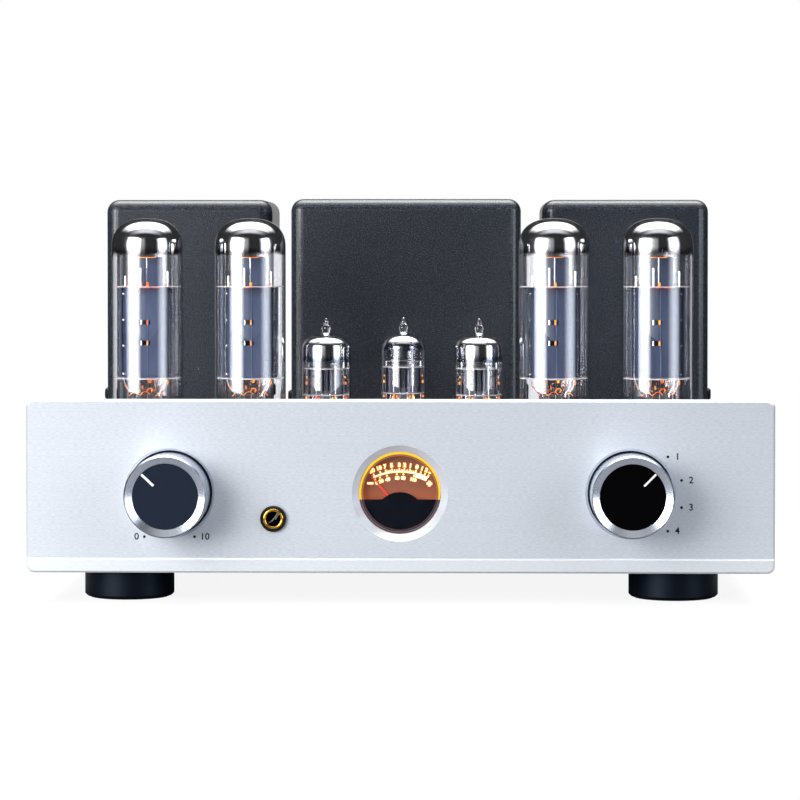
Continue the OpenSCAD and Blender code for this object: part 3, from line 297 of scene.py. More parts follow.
def lettering(text, height, x, z, face_y, film, bold=0.0, turn=0.0, back=False):
    """Plain figures as a raised part about a place on a face that looks to the front, or to the back."""
    curve = bpy.data.curves.new("figures", "FONT")
    curve.body = text
    curve.size = height / FIGURE_SHARE
    curve.align_x = "CENTER"
    curve.align_y = "CENTER"
    curve.extrude = film / 2
    curve.offset = bold
    curve.resolution_u = 4
    source = bpy.data.objects.new("figures", curve)
    mesh = bpy.data.meshes.new_from_object(source)
    side = -1 if back else 1
    c, s = math.cos(turn), math.sin(turn)
    points = []
    for vertex in mesh.vertices:
        u, v, w = vertex.co
        points.append((x + side * (u * c - v * s), face_y - side * (w + film / 2), z + u * s + v * c))
    faces = [list(polygon.vertices) for polygon in mesh.polygons]
    bpy.data.objects.remove(source)
    bpy.data.curves.remove(curve)
    bpy.data.meshes.remove(mesh)
    return points, faces


def piece(name, parts, material, body, replaces=(), crease=35):
    """One mesh object from several (points, faces) parts in mm, which rides a body of the model."""
    points, faces = [], []
    for part_points, part_faces in parts:
        start = len(points)
        points += [Vector(p) * MM for p in part_points]
        faces += [[start + i for i in face] for face in part_faces]
    mesh = bpy.data.meshes.new(name)
    mesh.from_pydata(points, [], faces)
    form = bmesh.new()
    form.from_mesh(mesh)
    bmesh.ops.remove_doubles(form, verts=form.verts, dist=1e-7)
    bmesh.ops.recalc_face_normals(form, faces=form.faces)
    form.to_mesh(mesh)
    form.free()
    mesh.shade_smooth()
    mesh.set_sharp_from_angle(angle=math.radians(crease))
    mesh.materials.append(material)
    made = bpy.data.objects.new(name, mesh)
    bpy.context.scene.collection.objects.link(made)
    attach(made, body)
    if replaces:
        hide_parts(*replaces)


def centre_of(node):
    low, high = box_mm(node)
    return (low + high) / 2


ink = grained("panel_ink", {"Roughness": 0.6, "Specular IOR Level": 0.15}, 0.8, tint(5, 6, 9), tint(16, 17, 21))
volume_at, selector_at = centre_of("volume_knob"), centre_of("selector_knob")
marks = []
for knob_at, labels in ((volume_at, VOLUME_ENDS), (selector_at, SOURCES)):
    for figure, (angle, radius, reach) in labels.items():
        x = knob_at.x + radius * math.sin(math.radians(angle))
        z = knob_at.z + radius * math.cos(math.radians(angle))
        dot = [(x + DOT_R * u, z + DOT_R * v) for u, v in ring_of(20)]
        marks.append(slab(dot, panel_y - INK_FILM, panel_y))
        marks.append(lettering(figure, FIGURE_H, x + reach, z, panel_y, INK_FILM, INK_BOLD))
piece("panel_marks", marks, ink, "chassis")


# Knobs: turned aluminium with a bright-cut dished rim round a dark anodised disc. The pointer
# is a milled slot filled with white paint. Each is pushed on a steel shaft with a flat.
turned_metal, place = finish("turned_aluminium", {"Metallic": 1.0})
turning = place.grain(0.25, (1.0, 40.0, 1.0))
feed(turned_metal, Base_Color=turning.blend(tint(208, 215, 229), tint(224, 230, 241)),
     Roughness=turning * 0.06 + 0.23)
dress(turned_metal, "volume_knob", "selector_knob")


def anodised_disc(name, colour, centre):
    """Dark anodised disc with faint turning rings about its centre."""
    material, place = finish(name, {"Specular IOR Level": 0.04})
    rings = from_axis(place, centre).maths("PINGPONG", 0.3)
    speck = place.grain(0.7)
    feed(material, Base_Color=speck.blend(scaled(colour, 0.8), scaled(colour, 1.15)),
         Roughness=speck * 0.1 + 0.26, Normal=rings.dents(0.01, 0.2))
    return material


dress(anodised_disc("volume_disc", tint(32, 39, 53), volume_at), "volume_insert")
dress(anodised_disc("selector_disc", tint(3, 3, 4), selector_at), "selector_insert")

shaft_steel, place = finish("shaft_steel", {"Metallic": 1.0})
feed(shaft_steel, Base_Color=place.grain(2.0).blend(tint(165, 166, 168), tint(198, 199, 200)),
     Roughness=place.grain(0.3, (1.0, 30.0, 1.0)) * 0.2 + 0.2)
dress(shaft_steel, "volume_shaft", "selector_shaft")

control_body = grained("control_body", {"Roughness": 0.5}, 3.0, tint(34, 52, 46), tint(48, 70, 62))
dress(control_body, "volume_pot", "selector_switch")

pointer_paint = grained("pointer_paint", {"Roughness": 0.45}, 0.6, tint(236, 238, 240), tint(250, 251, 252))

POINTER_L, POINTER_GAP, PAINT_SINK, SLOT_DEPTH = 7.4, 0.15, 0.06, 0.3
for knob, body, angle, width in (("volume", "volume_control", -47, 1.05),
                                 ("selector", "selector_control", 45, 0.85)):
    low, high = box_mm(knob + "_insert")
    middle, rim = (low + high) / 2, (high.x - low.x) / 2
    c, s = math.cos(math.radians(angle)), math.sin(math.radians(angle))
    half, inner, outer = width / 2, rim - POINTER_L, rim - POINTER_GAP
    line = [(middle.x + u * c + out * s, middle.z - u * s + out * c)
            for u, out in ((-half, inner), (half, inner), (half, outer), (-half, outer))]
    piece(knob + "_pointer", [slab(line, low.y + PAINT_SINK, low.y + SLOT_DEPTH)], pointer_paint, body)


# Headphone socket: a gold-plated threaded sleeve with a rounded lip in a black moulded ring, with
# the jack body behind the panel and its plated contact spring showing across the hole.
moulded, place = finish("moulded_black", {"Specular IOR Level": 0.25})
feed(moulded, Base_Color=place.grain(4.0).blend(tint(6, 6, 8), tint(15, 15, 18)),
     Roughness=place.grain(0.7, detail=3.0) * 0.15 + 0.3, Normal=place.grain(0.5).dents(0.02, 0.4))
dress(moulded, "headphone_ring", "headphone_body")

gold = grained("gold_plate", {"Metallic": 1.0}, 1.8, tint(228, 168, 56), tint(248, 200, 92),
               (0.6, 0.12, 0.10), 3.0)
dress(gold, "headphone_sleeve")


def heading(path, i):
    """Direction of a path at its point i."""
    return (path[min(i + 1, len(path) - 1)] - path[max(i - 1, 0)]).normalized()


def leaf(path, width, thick):
    """Flat spring along a path in the panel's plane: its width runs along the depth."""
    path = [Vector(p) for p in path]
    outline = []
    for order in (path, path[::-1]):
        for i, at in enumerate(order):
            ahead = heading(order, i)
            outline.append((at.x - ahead.z * thick / 2, at.z + ahead.x * thick / 2))
    return slab(outline, path[0].y, path[0].y + width)


def turned(profile, x=0, y=0, z=0, along="Z", steps=96):
    """Profile of (radius, height) pairs turned about an axis through a place; radius 0 is a pole."""
    points, rings, faces = [], [], []
    for radius, height in profile:
        circle = ring_of(steps) if radius > 1e-6 else [(0.0, 0.0)]
        rings.append(range(len(points), len(points) + len(circle)))
        for u, v in circle:
            u, v = radius * u, radius * v
            points.append((x + u, y + v, z + height) if along == "Z" else (x + u, y + height, z + v))
    for one, two in zip(rings, rings[1:]):
        for i in range(steps):
            j = (i + 1) % steps
            corners = [one[i % len(one)], one[j % len(one)], two[j % len(two)], two[i % len(two)]]
            faces.append(list(dict.fromkeys(corners)))
    return points, faces


SPRING_DEPTH, SPRING_W = 5.2, 2.6
LONG_LEG = ((1.7, 2.6), (1.1, 1.3), (0.35, 0.1), (-0.5, -0.9), (-1.5, -1.7), (-2.3, -2.2))
SHORT_LEG = ((2.3, 1.8), (1.5, 0.9), (0.95, 0.0), (0.8, -0.7))
LIP_MID, LIP_HALF, LIP_RISE = 3.9, 0.63, 0.55
jack_low, jack_high = box_mm("headphone_sleeve")
jack_at = (jack_low + jack_high) / 2
spring_metal = grained("spring_nickel", {"Metallic": 1.0}, 0.8, tint(206, 204, 198), tint(236, 235, 231),
                       (0.4, 0.12, 0.18))
legs = [leaf([(jack_at.x + u, jack_low.y + SPRING_DEPTH, jack_at.z + v) for u, v in leg], SPRING_W, thick)
        for leg, thick in ((LONG_LEG, 0.55), (SHORT_LEG, 0.4))]
piece("headphone_spring", legs, spring_metal, "chassis")

lip_round = [(LIP_MID - LIP_HALF * math.cos(math.radians(a)), -LIP_RISE * math.sin(math.radians(a)))
             for a in range(0, 181, 15)]
piece("headphone_lip", [turned(lip_round + lip_round[:1], jack_at.x, jack_low.y, jack_at.z, "Y", 64)],
      gold, "chassis")


# Level meter: a moving-coil movement in a black can behind a clear cup, which sits in the
# panel's bevelled window. The light of a lamp behind the dial is painted on the print and the cup's wall as amber
# glow.
MASK_EDGE_DROP, MASK_EDGE_BLUR = 3.0, 0.15
LENS_FRONT, LENS_BEVEL, CUP_WALL, CUP_GAP, RING_REACH = 1.5, 0.3, 1.75, 0.1, 1.85
dress(moulded, "meter_can")
dress(zinc, "meter_movement")
lens_low, lens_high = box_mm("meter_lens")
lens_at = (lens_low + lens_high) / 2
lens_r = (lens_high.x - lens_low.x) / 2


def clear(name, colour, roughness=0.0, ior=1.45):
    """Clear glass or acrylic that lets light through to what is inside it."""
    material, _ = finish(name, {
        "Base Color": colour, "Roughness": roughness, "IOR": ior, "Transmission Weight": 1.0})
    tree = material.node_tree
    path = Wire(tree.nodes.new("ShaderNodeLightPath").outputs["Is Shadow Ray"])
    bright = path.node("BsdfTransparent", None, {"Color": colour})
    glass = Wire(tree.nodes["Principled BSDF"].outputs[0])
    both = path.node("MixShader", None, {0: path, 1: glass, 2: bright})
    tree.links.new(both.socket, tree.nodes["Material Output"].inputs["Surface"])
    return material


acrylic = clear("lens_acrylic", (1.0, 1.0, 1.0, 1.0), ior=1.25)
piece("meter_window", [turned([
    (0, 0), (lens_r - LENS_BEVEL, 0), (lens_r, LENS_BEVEL), (lens_r, LENS_FRONT), (0, LENS_FRONT)],
    lens_at.x, lens_low.y, lens_at.z, "Y", 128)], acrylic, "chassis", ["meter_lens"])

lit_wall, place = finish("lamp_lit_cup", {"Roughness": 0.3, "Emission Strength": 1.0})
up = place.axis("Z") - lens_at.z
above = up.step(-MASK_EDGE_DROP - MASK_EDGE_BLUR, -MASK_EDGE_DROP + MASK_EDGE_BLUR)
inward = lens_r - from_axis(place, lens_at) + place.grain(3.0, (1.0, 8.0, 1.0)) * 0.1


def lit_rings(*stops):
    """Rings of painted glow and painted highlight lines on the cup's wall, from its outer edge inwards."""
    return inward.node("ValToRGB", {"stops": stops}, {0: inward / RING_REACH})


# Upper half: the lamp's painted amber glow with pale edge lines. Lower half: dark, with painted highlight and
# reflection lines. The warmer base colour of the upper half is painted lamp light too.
glow = lit_rings(
    (0.03, tint(255, 176, 120)), (0.12, tint(240, 110, 10)), (0.22, tint(255, 226, 40)),
    (0.46, tint(255, 214, 10)), (0.60, tint(226, 104, 8)), (0.72, tint(70, 24, 8)),
    (0.86, tint(196, 150, 120)), (0.97, tint(110, 52, 26)))
lower_painted_glints = lit_rings(
    (0.03, tint(236, 120, 60)), (0.14, tint(110, 60, 46)), (0.26, tint(26, 34, 52)),
    (0.40, tint(120, 140, 166)), (0.52, tint(16, 20, 34)), (0.70, tint(4, 6, 14)),
    (0.86, tint(128, 70, 40)), (0.97, tint(4, 6, 14)))
feed(lit_wall, Base_Color=above.blend(tint(3, 4, 8), tint(30, 16, 4)), Emission_Color=above.blend(lower_painted_glints, glow))
cup_r, cup_front, cup_back = lens_r - CUP_WALL, LENS_FRONT + CUP_GAP, lens_high.y - lens_low.y
piece("meter_cup_wall", [turned([
    (cup_r, cup_front), (lens_r, cup_front), (lens_r, cup_back), (cup_r, cup_back), (cup_r, cup_front)],
    lens_at.x, lens_low.y, lens_at.z, "Y", 128)], lit_wall, "chassis")

# The dial's glow, stronger low down near the mask's edge, is the lamp's light painted on as emission.
dial_sheet, place = finish("dial_sheet", {"Roughness": 0.45, "Emission Strength": 1.0})
height = place.axis("Z") - (lens_at.z - MASK_EDGE_DROP)
haze = place.grain(7.0)
low_glow = 1 - (height + haze * 2.0).step(0.0, 9.0)
feed(dial_sheet, Base_Color=haze.blend(tint(70, 38, 22), tint(96, 52, 30)),
     Emission_Color=low_glow.blend(tint(92, 47, 30), tint(140, 64, 30)))
dress(dial_sheet, "meter_face")

mask_paint = grained("mask_paint", {"Specular IOR Level": 0.08}, 5.0, tint(1, 3, 10), tint(4, 7, 18),
                     (0.8, 0.15, 0.3), 3.0)
dress(mask_paint, "meter_mask")


# Dial print: the level scale on an arc with its zone bar, in cream ink with painted lamp glow over a bolder
# amber layer of painted glow that shows as glowing edges.
ARC_R, ARC_DROP, ARC_HALF = 28.3, 19.2, 24.8
DIGIT_R, DIGIT_H, PERCENT_R, PERCENT_H = 31.2, 1.75, 25.4, 1.35
TICK_R, TICK_HALF, SMALL_TICK_R, SMALL_TICK_HALF = 29.7, 0.3, 29.2, 0.2
LINE_HALF, ZONE_IN, ZONE_OUT = 0.22, 1.5, 0.25
PERCENT_DOT_R, PERCENT_DOT_DROP = 0.27, 1.15
LEVELS = {"20": -23.4, "10": -17.4, "7": -12.4, "5": -6.9, "3": -0.6, "2": 3.8, "1": 8.5, "0": 13.9,
          "1 ": 18.2, "2 ": 22.0, "3 ": 25.4}
PERCENTS = {"0": -24.1, "20": -19.1, "40": -12.3, "60": -3.0, "80": 3.1, "100": 13.2}
SMALL_TICKS = (-10.5, -8.7, -4.8, -2.7, 1.6, 6.2, 10.3, 12.1)
LOUD_ZONE = (13.9, 25.4)
# Bars of the minus and the plus: place from the lens's middle, half width and half height.
SIGN_BARS = ((-13.2, 3.9, 1.25, 0.36), (13.0, 3.8, 1.1, 0.34), (13.0, 3.8, 0.34, 1.1))
print_y = box_mm("meter_face")[0].y


def on_dial(angle, radius):
    turn = math.radians(angle)
    return lens_at.x + radius * math.sin(turn), lens_at.z - ARC_DROP + radius * math.cos(turn)


def dial_arc(start, end, inner, outer, film):
    steps = 36
    angles = [start + (end - start) * i / steps for i in range(steps + 1)]
    outline = [on_dial(a, outer) for a in angles] + [on_dial(a, inner) for a in reversed(angles)]
    return slab(outline, print_y - film, print_y)


def dial_print(film, bold):
    """Every line and figure of the scale, a film's height above the dial and this much bolder."""
    parts = [dial_arc(-ARC_HALF, LOUD_ZONE[0], ARC_R - LINE_HALF - bold, ARC_R + LINE_HALF + bold, film),
             dial_arc(*LOUD_ZONE, ARC_R - ZONE_IN - bold, ARC_R + ZONE_OUT + bold, film)]
    for figure, angle in LEVELS.items():
        half = TICK_HALF + 2 * bold
        parts.append(dial_arc(angle - half, angle + half, ARC_R, TICK_R + bold, film))
        x, z = on_dial(angle, DIGIT_R)
        parts.append(lettering(figure.strip(), DIGIT_H, x, z, print_y, film, bold + 0.05, -math.radians(angle)))
    for angle in SMALL_TICKS:
        half = SMALL_TICK_HALF + 2 * bold
        parts.append(dial_arc(angle - half, angle + half, ARC_R, SMALL_TICK_R + bold, film))
    for figure, angle in PERCENTS.items():
        x, z = on_dial(angle, ARC_R - PERCENT_DOT_DROP)
        dot_r = PERCENT_DOT_R + bold
        parts.append(slab([(x + dot_r * u, z + dot_r * v) for u, v in ring_of(12)], print_y - film, print_y))
        x, z = on_dial(angle, PERCENT_R)
        parts.append(lettering(figure, PERCENT_H, x, z, print_y, film, bold + 0.04, -math.radians(angle)))
    for x, z, wide, tall in SIGN_BARS:
        corners = [(lens_at.x + x + (wide + bold) * u, lens_at.z + z + (tall + bold) * v)
                   for u, v in ((-1, -1), (1, -1), (1, 1), (-1, 1))]
        parts.append(slab(corners, print_y - film, print_y))
    return parts


for name, film, bold, colour, power in (("meter_print_glow", 0.02, 0.23, tint(255, 142, 12), 1.0),
                                        ("meter_print", 0.05, 0.0, tint(255, 244, 190), 1.2)):
    lit_ink, place = finish(name, {"Roughness": 0.5, "Base Color": colour, "Emission Strength": power})
    feed(lit_ink, Emission_Color=place.grain(3.0).blend(scaled(colour, 0.92), colour))
    piece(name, dial_print(film, bold), lit_ink, "chassis")


# Needle: a thin aluminium blade on a hub, painted red and balanced by a tail weight. It sits on
# the staff of the moving coil and swings between the dial and the mask.
PIVOT_DROP, NEEDLE_REST = 8.1, math.radians(-39)
NEEDLE_L, ROOT_HALF, TIP_HALF, BLADE_T = 20.0, 0.3, 0.14, 0.4
TAIL_L, TAIL_HALF, WEIGHT_L, WEIGHT_HALF, WEIGHT_T = 5.8, 0.8, 2.6, 2.0, 1.2
HUB_R, HUB_LIFT, STAFF_R = 2.0, 0.4, 0.75
needle_low, needle_high = box_mm("meter_needle")
blade_y = needle_low.y + HUB_LIFT


def on_needle(outline, near, far):
    """Slab from points given across and along the needle."""
    c, s = math.cos(NEEDLE_REST), math.sin(NEEDLE_REST)
    return slab([(lens_at.x + u * c + w * s, lens_at.z - PIVOT_DROP - u * s + w * c) for u, w in outline],
                near, far)


def strip(start, start_half, end, end_half):
    """Straight outline along the needle, with half its width at both ends."""
    return [(-start_half, start), (start_half, start), (end_half, end), (-end_half, end)]


# Its red glow is the meter lamp's light painted on as emission.
needle_paint_and_glow, place = finish("needle_paint_and_glow", {"Roughness": 0.4, "Emission Strength": 1.0})
feed(needle_paint_and_glow, Base_Color=place.grain(1.5).blend(tint(200, 10, 6), tint(230, 20, 12)),
     Emission_Color=place.grain(1.5).blend(tint(225, 16, 8), tint(250, 30, 16)))
weight_end = WEIGHT_L - TAIL_L
piece("needle_blade", [
    on_needle(strip(0, ROOT_HALF, NEEDLE_L, TIP_HALF), blade_y, blade_y + BLADE_T),
    on_needle(strip(-TAIL_L, TAIL_HALF, 0, TAIL_HALF), blade_y, blade_y + BLADE_T),
    on_needle(strip(-TAIL_L, WEIGHT_HALF, weight_end, WEIGHT_HALF), needle_low.y, needle_low.y + WEIGHT_T),
    on_needle([(HUB_R * u, HUB_R * v) for u, v in ring_of(32)], needle_low.y, blade_y + WEIGHT_T),
    on_needle([(STAFF_R * u, STAFF_R * v) for u, v in ring_of(20)], blade_y, needle_high.y)],
    needle_paint_and_glow, "meter_pointer", ["meter_needle"])


# Transformer covers: deep-drawn steel boots with round edges over the two output transformers
# and the mains transformer, powder coated charcoal, each held by four black pan-head screws.
cover_coat = powder_coat("cover_coat", tint(19, 23, 29), tint(98, 107, 124), 0.23)
dress(cover_coat, "left_output_cover", "power_supply_cover", "right_output_cover")

black_screw = grained("black_screw", {"Metallic": 0.6}, 0.8, tint(20, 20, 22), tint(44, 44, 48), (0.4, 0.2, 0.28))
dress(black_screw, "cover_screws")

core_plates, place = finish("core_plates", {"Metallic": 0.8, "Roughness": 0.5})
stack = place.axis("Y").maths("PINGPONG", 0.5).step(0.3, 0.5)
feed(core_plates, Base_Color=stack.blend(tint(74, 74, 78), tint(112, 112, 116)))
dress(core_plates, "transformer_cores")

enamel, place = finish("winding_enamel", {"Metallic": 0.7, "Roughness": 0.35})
turns = place.axis("X").maths("PINGPONG", 0.4).step(0.1, 0.3)
feed(enamel, Base_Color=turns.blend(tint(92, 40, 18), tint(176, 92, 44)))
dress(enamel, "transformer_coils")


# Tube sockets: pressed and glazed ceramic discs that stand in round holes of the top plate. The
# pins of the tubes plug into them.
ceramic = grained("glazed_ceramic", {"Coat Weight": 0.6, "Coat Roughness": 0.08}, 6.0,
                  tint(214, 208, 194), tint(232, 228, 216), (1.0, 0.2, 0.35))
dress(ceramic, "tube_sockets")


# Power tubes: blown glass bulbs cemented into black moulded bases. A barium flash silvers the
# inside of each dome. Below it a grey finned plate hangs between two mica discs, on nickel
# rods that are welded to the wires of the glass stem, and the heater glows at both ends.
base_mould = grained("tube_base_mould", {}, 3.0, tint(14, 13, 13), tint(30, 28, 27),
                     (0.8, 0.15, 0.25), 3.0)
dress(base_mould, "power_tube_bases")

tube_glass = clear("tube_glass", (0.965, 0.97, 1.0, 1.0), ior=1.62)
stem_glass = clear("stem_glass", (0.96, 0.97, 0.97, 1.0), 0.02, 1.5)

plate_metal, place = finish("carbonised_plate", {"Metallic": 0.6})
mottle = place.grain(2.5, (1.0, 1.0, 5.0), 3.0)
feed(plate_metal, Base_Color=mottle.blend(tint(58, 66, 86), tint(80, 90, 114)),
     Roughness=place.grain(0.9, (1.0, 1.0, 8.0)) * 0.14 + 0.36)

wing_metal, place = finish("blackened_wing", {"Metallic": 0.7})
feed(wing_metal, Base_Color=place.grain(2.0, (1.0, 1.0, 6.0)).blend(tint(26, 27, 33), tint(52, 54, 64)),
     Roughness=place.grain(0.8) * 0.2 + 0.35)

bright_nickel = grained("bright_nickel", {"Metallic": 1.0}, 0.8, tint(214, 214, 216), tint(244, 244, 246),
                        (0.5, 0.12, 0.12))

mica = grained("mica_sheet", {"Specular IOR Level": 0.6, "Roughness": 0.25, "Transmission Weight": 0.35}, 2.0,
               tint(196, 190, 186), tint(232, 228, 226))

# Glowing heater wire; the same glow also paints orange glints on a few bars that are not heater.
heater_and_painted_glints, place = finish("hot_heater_and_painted_glints", {"Roughness": 0.6, "Emission Strength": 2.2})
heat = place.grain(1.6, detail=1.0)
feed(heater_and_painted_glints, Base_Color=heat.blend(tint(120, 40, 14), tint(180, 84, 30)),
     Emission_Color=heat.step(0.3, 0.7).blend(tint(232, 70, 8), tint(255, 176, 40)))

# Painted heater glow: the red-lit edges under the micas are emission on thin rings, as the mica is not a lamp.
painted_glow_edge, place = finish("heater_lit_mica", {"Roughness": 0.5, "Emission Strength": 1.7})
glow_spots = place.grain(2.2, detail=1.0)
feed(painted_glow_edge, Base_Color=glow_spots.blend(tint(90, 40, 26), tint(150, 80, 50)),
     Emission_Color=glow_spots.step(0.42, 0.62).blend(tint(54, 14, 8), tint(226, 44, 10)))


def flash(name, edge_z, ragged, edge_colour):
    """Mirror of evaporated barium: solid in the dome, thinning to brown and then to nothing at its edge."""
    material, place = finish(name, {"Metallic": 1.0})
    ripple = place.grain(7.0)
    above = place.axis("Z") - edge_z + (ripple - 0.5) * ragged
    feed(material, Base_Color=above.step(0.0, 4.0).blend(edge_colour, tint(206, 206, 210)),
         Roughness=place.grain(3.0) * 0.05 + 0.03, Alpha=above.step(-1.2, 1.8))
    return material


def dome_profile(radius, rim, height, steps=28):
    """Blown dome from its rim up to the pole, rounder than a ball at the shoulder."""
    angles = [math.pi / 2 * i / steps for i in range(steps + 1)]
    return [(radius * max(math.cos(a), 0.0) ** 0.84 if i < steps else 0.0, rim + height * math.sin(a) ** 0.84)
            for i, a in enumerate(angles)]


def rounded_box(wide, deep, radius, steps=6):
    """Outline of a rectangle with round corners about the middle."""
    corners = ((1, 1, 0), (-1, 1, 90), (-1, -1, 180), (1, -1, 270))
    return [(sx * (wide / 2 - radius) + radius * math.cos(math.radians(start + 90 * i / steps)),
             sy * (deep / 2 - radius) + radius * math.sin(math.radians(start + 90 * i / steps)))
            for sx, sy, start in corners for i in range(steps + 1)]


def bar(path, radius, sides=8):
    """Round wire of this radius along a path of points, with flat ends."""
    path = [Vector(p) for p in path]
    points, faces = [], []
    normal = heading(path, 0).orthogonal().normalized()
    for i, at in enumerate(path):
        ahead = heading(path, i)
        normal = (normal - ahead * normal.dot(ahead)).normalized()
        across = ahead.cross(normal)
        points += [at + radius * (u * normal + v * across) for u, v in ring_of(sides)]
    for i in range(len(path) - 1):
        a, b = i * sides, (i + 1) * sides
        faces += [[a + k, a + (k + 1) % sides, b + (k + 1) % sides, b + k] for k in range(sides)]
    last = (len(path) - 1) * sides
    return points, faces + [list(range(sides))[::-1], [last + k for k in range(sides)]]


def rod(x, y, low, high, radius):
    """Upright round wire between two heights."""
    return bar([(x, y, low), (x, y, high)], radius)


def mica_disc(height, reach, count, tooth, notch):
    """Mica disc whose edge goes in by a notch after each tooth of so many of its points."""
    radii = [reach * (1.0 if i % (2 * tooth) < tooth else notch) for i in range(count)]
    edge = [(u * radius, v * radius) for (u, v), radius in zip(ring_of(count), radii)]
    return slab(edge, height, height + MICA_T, "Z")


def fit_in_tube(name, at, parts, material, replaces=(), crease=35):
    """Piece of a tube, from parts about its axis whose heights count from the place it stands at."""
    placed = [([(u + at[0], v + at[1], w + at[2]) for u, v, w in points], faces) for points, faces in parts]
    piece(name, placed, material, "chassis", replaces, crease)


def blow_bulb(tube, at, outer, inner, silver, foot, skirt, silvering):
    """Bulb between two domes drawn down to its foot, with a silvered dome whose skirt hangs to a height."""
    outside = [(inner[0][0], foot), (outer[0][0], foot)] + outer
    inside = inner[::-1] + [(inner[0][0], foot)]
    fit_in_tube(tube + "_bulb", at, [turned(outside), turned(inside)], tube_glass, [tube + "_glass"])
    hem = [(silver[0][0], skirt)] if skirt < silver[0][1] else []
    fit_in_tube(tube + "_flash", at, [turned(hem + silver)], silvering)


# The plate is two pressed halves: a flat front with windows, and folded sides that end in wings.
MICA_LOW, MICA_HIGH, MICA_T = 22.0, 63.6, 0.4
PLATE_W, PLATE_D, SHEET, FOLD = 19.2, 12.0, 0.5, 1.4
WING_W, WING_HALF_T, RIB_W, RIB_ROUND, RIB_END = 25.5, 0.35, 1.5, 0.7, 0.4
WINDOW_X, WINDOW_H, WINDOW_MIDDLES = (-4.4, 2.0), 2.1, (38.2, 47.6)
plate_low, plate_high = MICA_LOW + MICA_T, MICA_HIGH
half_w, half_d = PLATE_W / 2, PLATE_D / 2
flat_x = half_w - FOLD
windows = [(middle - WINDOW_H / 2, middle + WINDOW_H / 2) for middle in WINDOW_MIDDLES]
strips, below = [], plate_low
for low, high in windows:
    strips += [(-flat_x, flat_x, below, low), (-flat_x, WINDOW_X[0], low, high), (WINDOW_X[1], flat_x, low, high)]
    below = high
strips.append((-flat_x, flat_x, below, plate_high))
plate = [slab([(x0, -half_d), (x1, -half_d), (x1, -half_d + SHEET), (x0, -half_d + SHEET)], z0, z1, "Z")
         for x0, x1, z0, z1 in strips]
fold = [(flat_x, -half_d), (half_w - 0.5, -half_d + 0.4), (half_w, -half_d + FOLD), (half_w, -1.0),
        (half_w + 0.5, -WING_HALF_T), (WING_W / 2, -WING_HALF_T)]
fold += [(u, -v) for u, v in reversed(fold)]
lining = [(flat_x, half_d - SHEET), (half_w - SHEET, half_d - FOLD), (half_w - SHEET, -half_d + FOLD),
          (flat_x, -half_d + SHEET)]
sides = fold + [(-u, v) for u, v in reversed(fold)] + [(-u, -v) for u, v in reversed(lining)] + lining
plate.append(slab(sides, plate_low, plate_high, "Z"))
wings = [slab([(side * WING_W / 2 * share + u, v) for u, v in rounded_box(RIB_W, RIB_W, RIB_ROUND)],
              plate_low + RIB_END, plate_high - RIB_END, "Z") for side in (-1, 1) for share in (0.76, 0.9)]

# A fin box stands over the upper mica, with the getter's post in front of it and a seam on the plate.
FIN_W, FIN_D, FIN_H, FIN_ROUND = 14.0, 7.0, 13.4, 1.2
fin_top, fin_y = MICA_HIGH + FIN_H, -FIN_D / 2
fin_box = [slab(rounded_box(FIN_W, FIN_D, FIN_ROUND), MICA_HIGH + MICA_T, fin_top, "Z"),
           rod(1.1, -half_d, plate_low + 0.3, plate_high - 0.3, 0.26)]

# Nickel: rods over the upper mica, rivets along the wings, and the wires from the stem to the lower mica.
RIVETS = (24.0, 36.8, 48.5, 60.4)
RIVET_HEAD = ((0, -0.5), (0.5, -0.35), (0.62, 0.0), (0.62, 0.4))
LEADS = ((-10.5, -4), (-7.0, -6.5), (-3.4, -8.2), (1.0, -8.6), (5.4, -7.6), (9.4, -5.0), (-8.0, 3.0), (8.0, 3.0))
nickel = [rod(0.2, fin_y - 0.1, MICA_HIGH + 0.5, fin_top - 0.2, 0.2),
          rod(-2.3, fin_y - 2.0, MICA_HIGH + 0.4, MICA_HIGH + 8.6, 0.5),
          rod(9.6, -2.0, MICA_HIGH + 0.4, MICA_HIGH + 7.0, 0.45),
          rod(-9.8, -1.0, MICA_HIGH + 0.4, MICA_HIGH + 5.0, 0.45)]
nickel += [turned(RIVET_HEAD, side * (half_w + 0.9), -0.9, height, "Y", 14)
           for height in RIVETS for side in (-1, 1)]
for k, (u, v) in enumerate(LEADS):
    lean = 0.62 + 0.05 * (k % 3)
    nickel.append(bar([(u * lean, v * lean, 12.5), (u * lean, v * lean, 15.0), (u * 0.92, v * 0.92, 18.6),
                       (u, v, MICA_LOW + 0.6)], 0.36))
grid_rods = [rod(-2.2, -half_d + 1.6, low, low + 2.6, 0.35) for low in (36.9, 46.3)]

# Heat: rings of painted heater glow under both micas, heater ends above and in the windows, lit wire ends and
# loops at the stem.
GLOW_RING_PROFILE = ((5.6, -0.42), (8.6, -0.42), (8.6, -0.05), (5.6, -0.05), (5.6, -0.42))
HOT_DROP = ((0, -1.5), (0.6, -1.3), (0.8, -0.6), (0.8, 0.0), (0, 0.0))
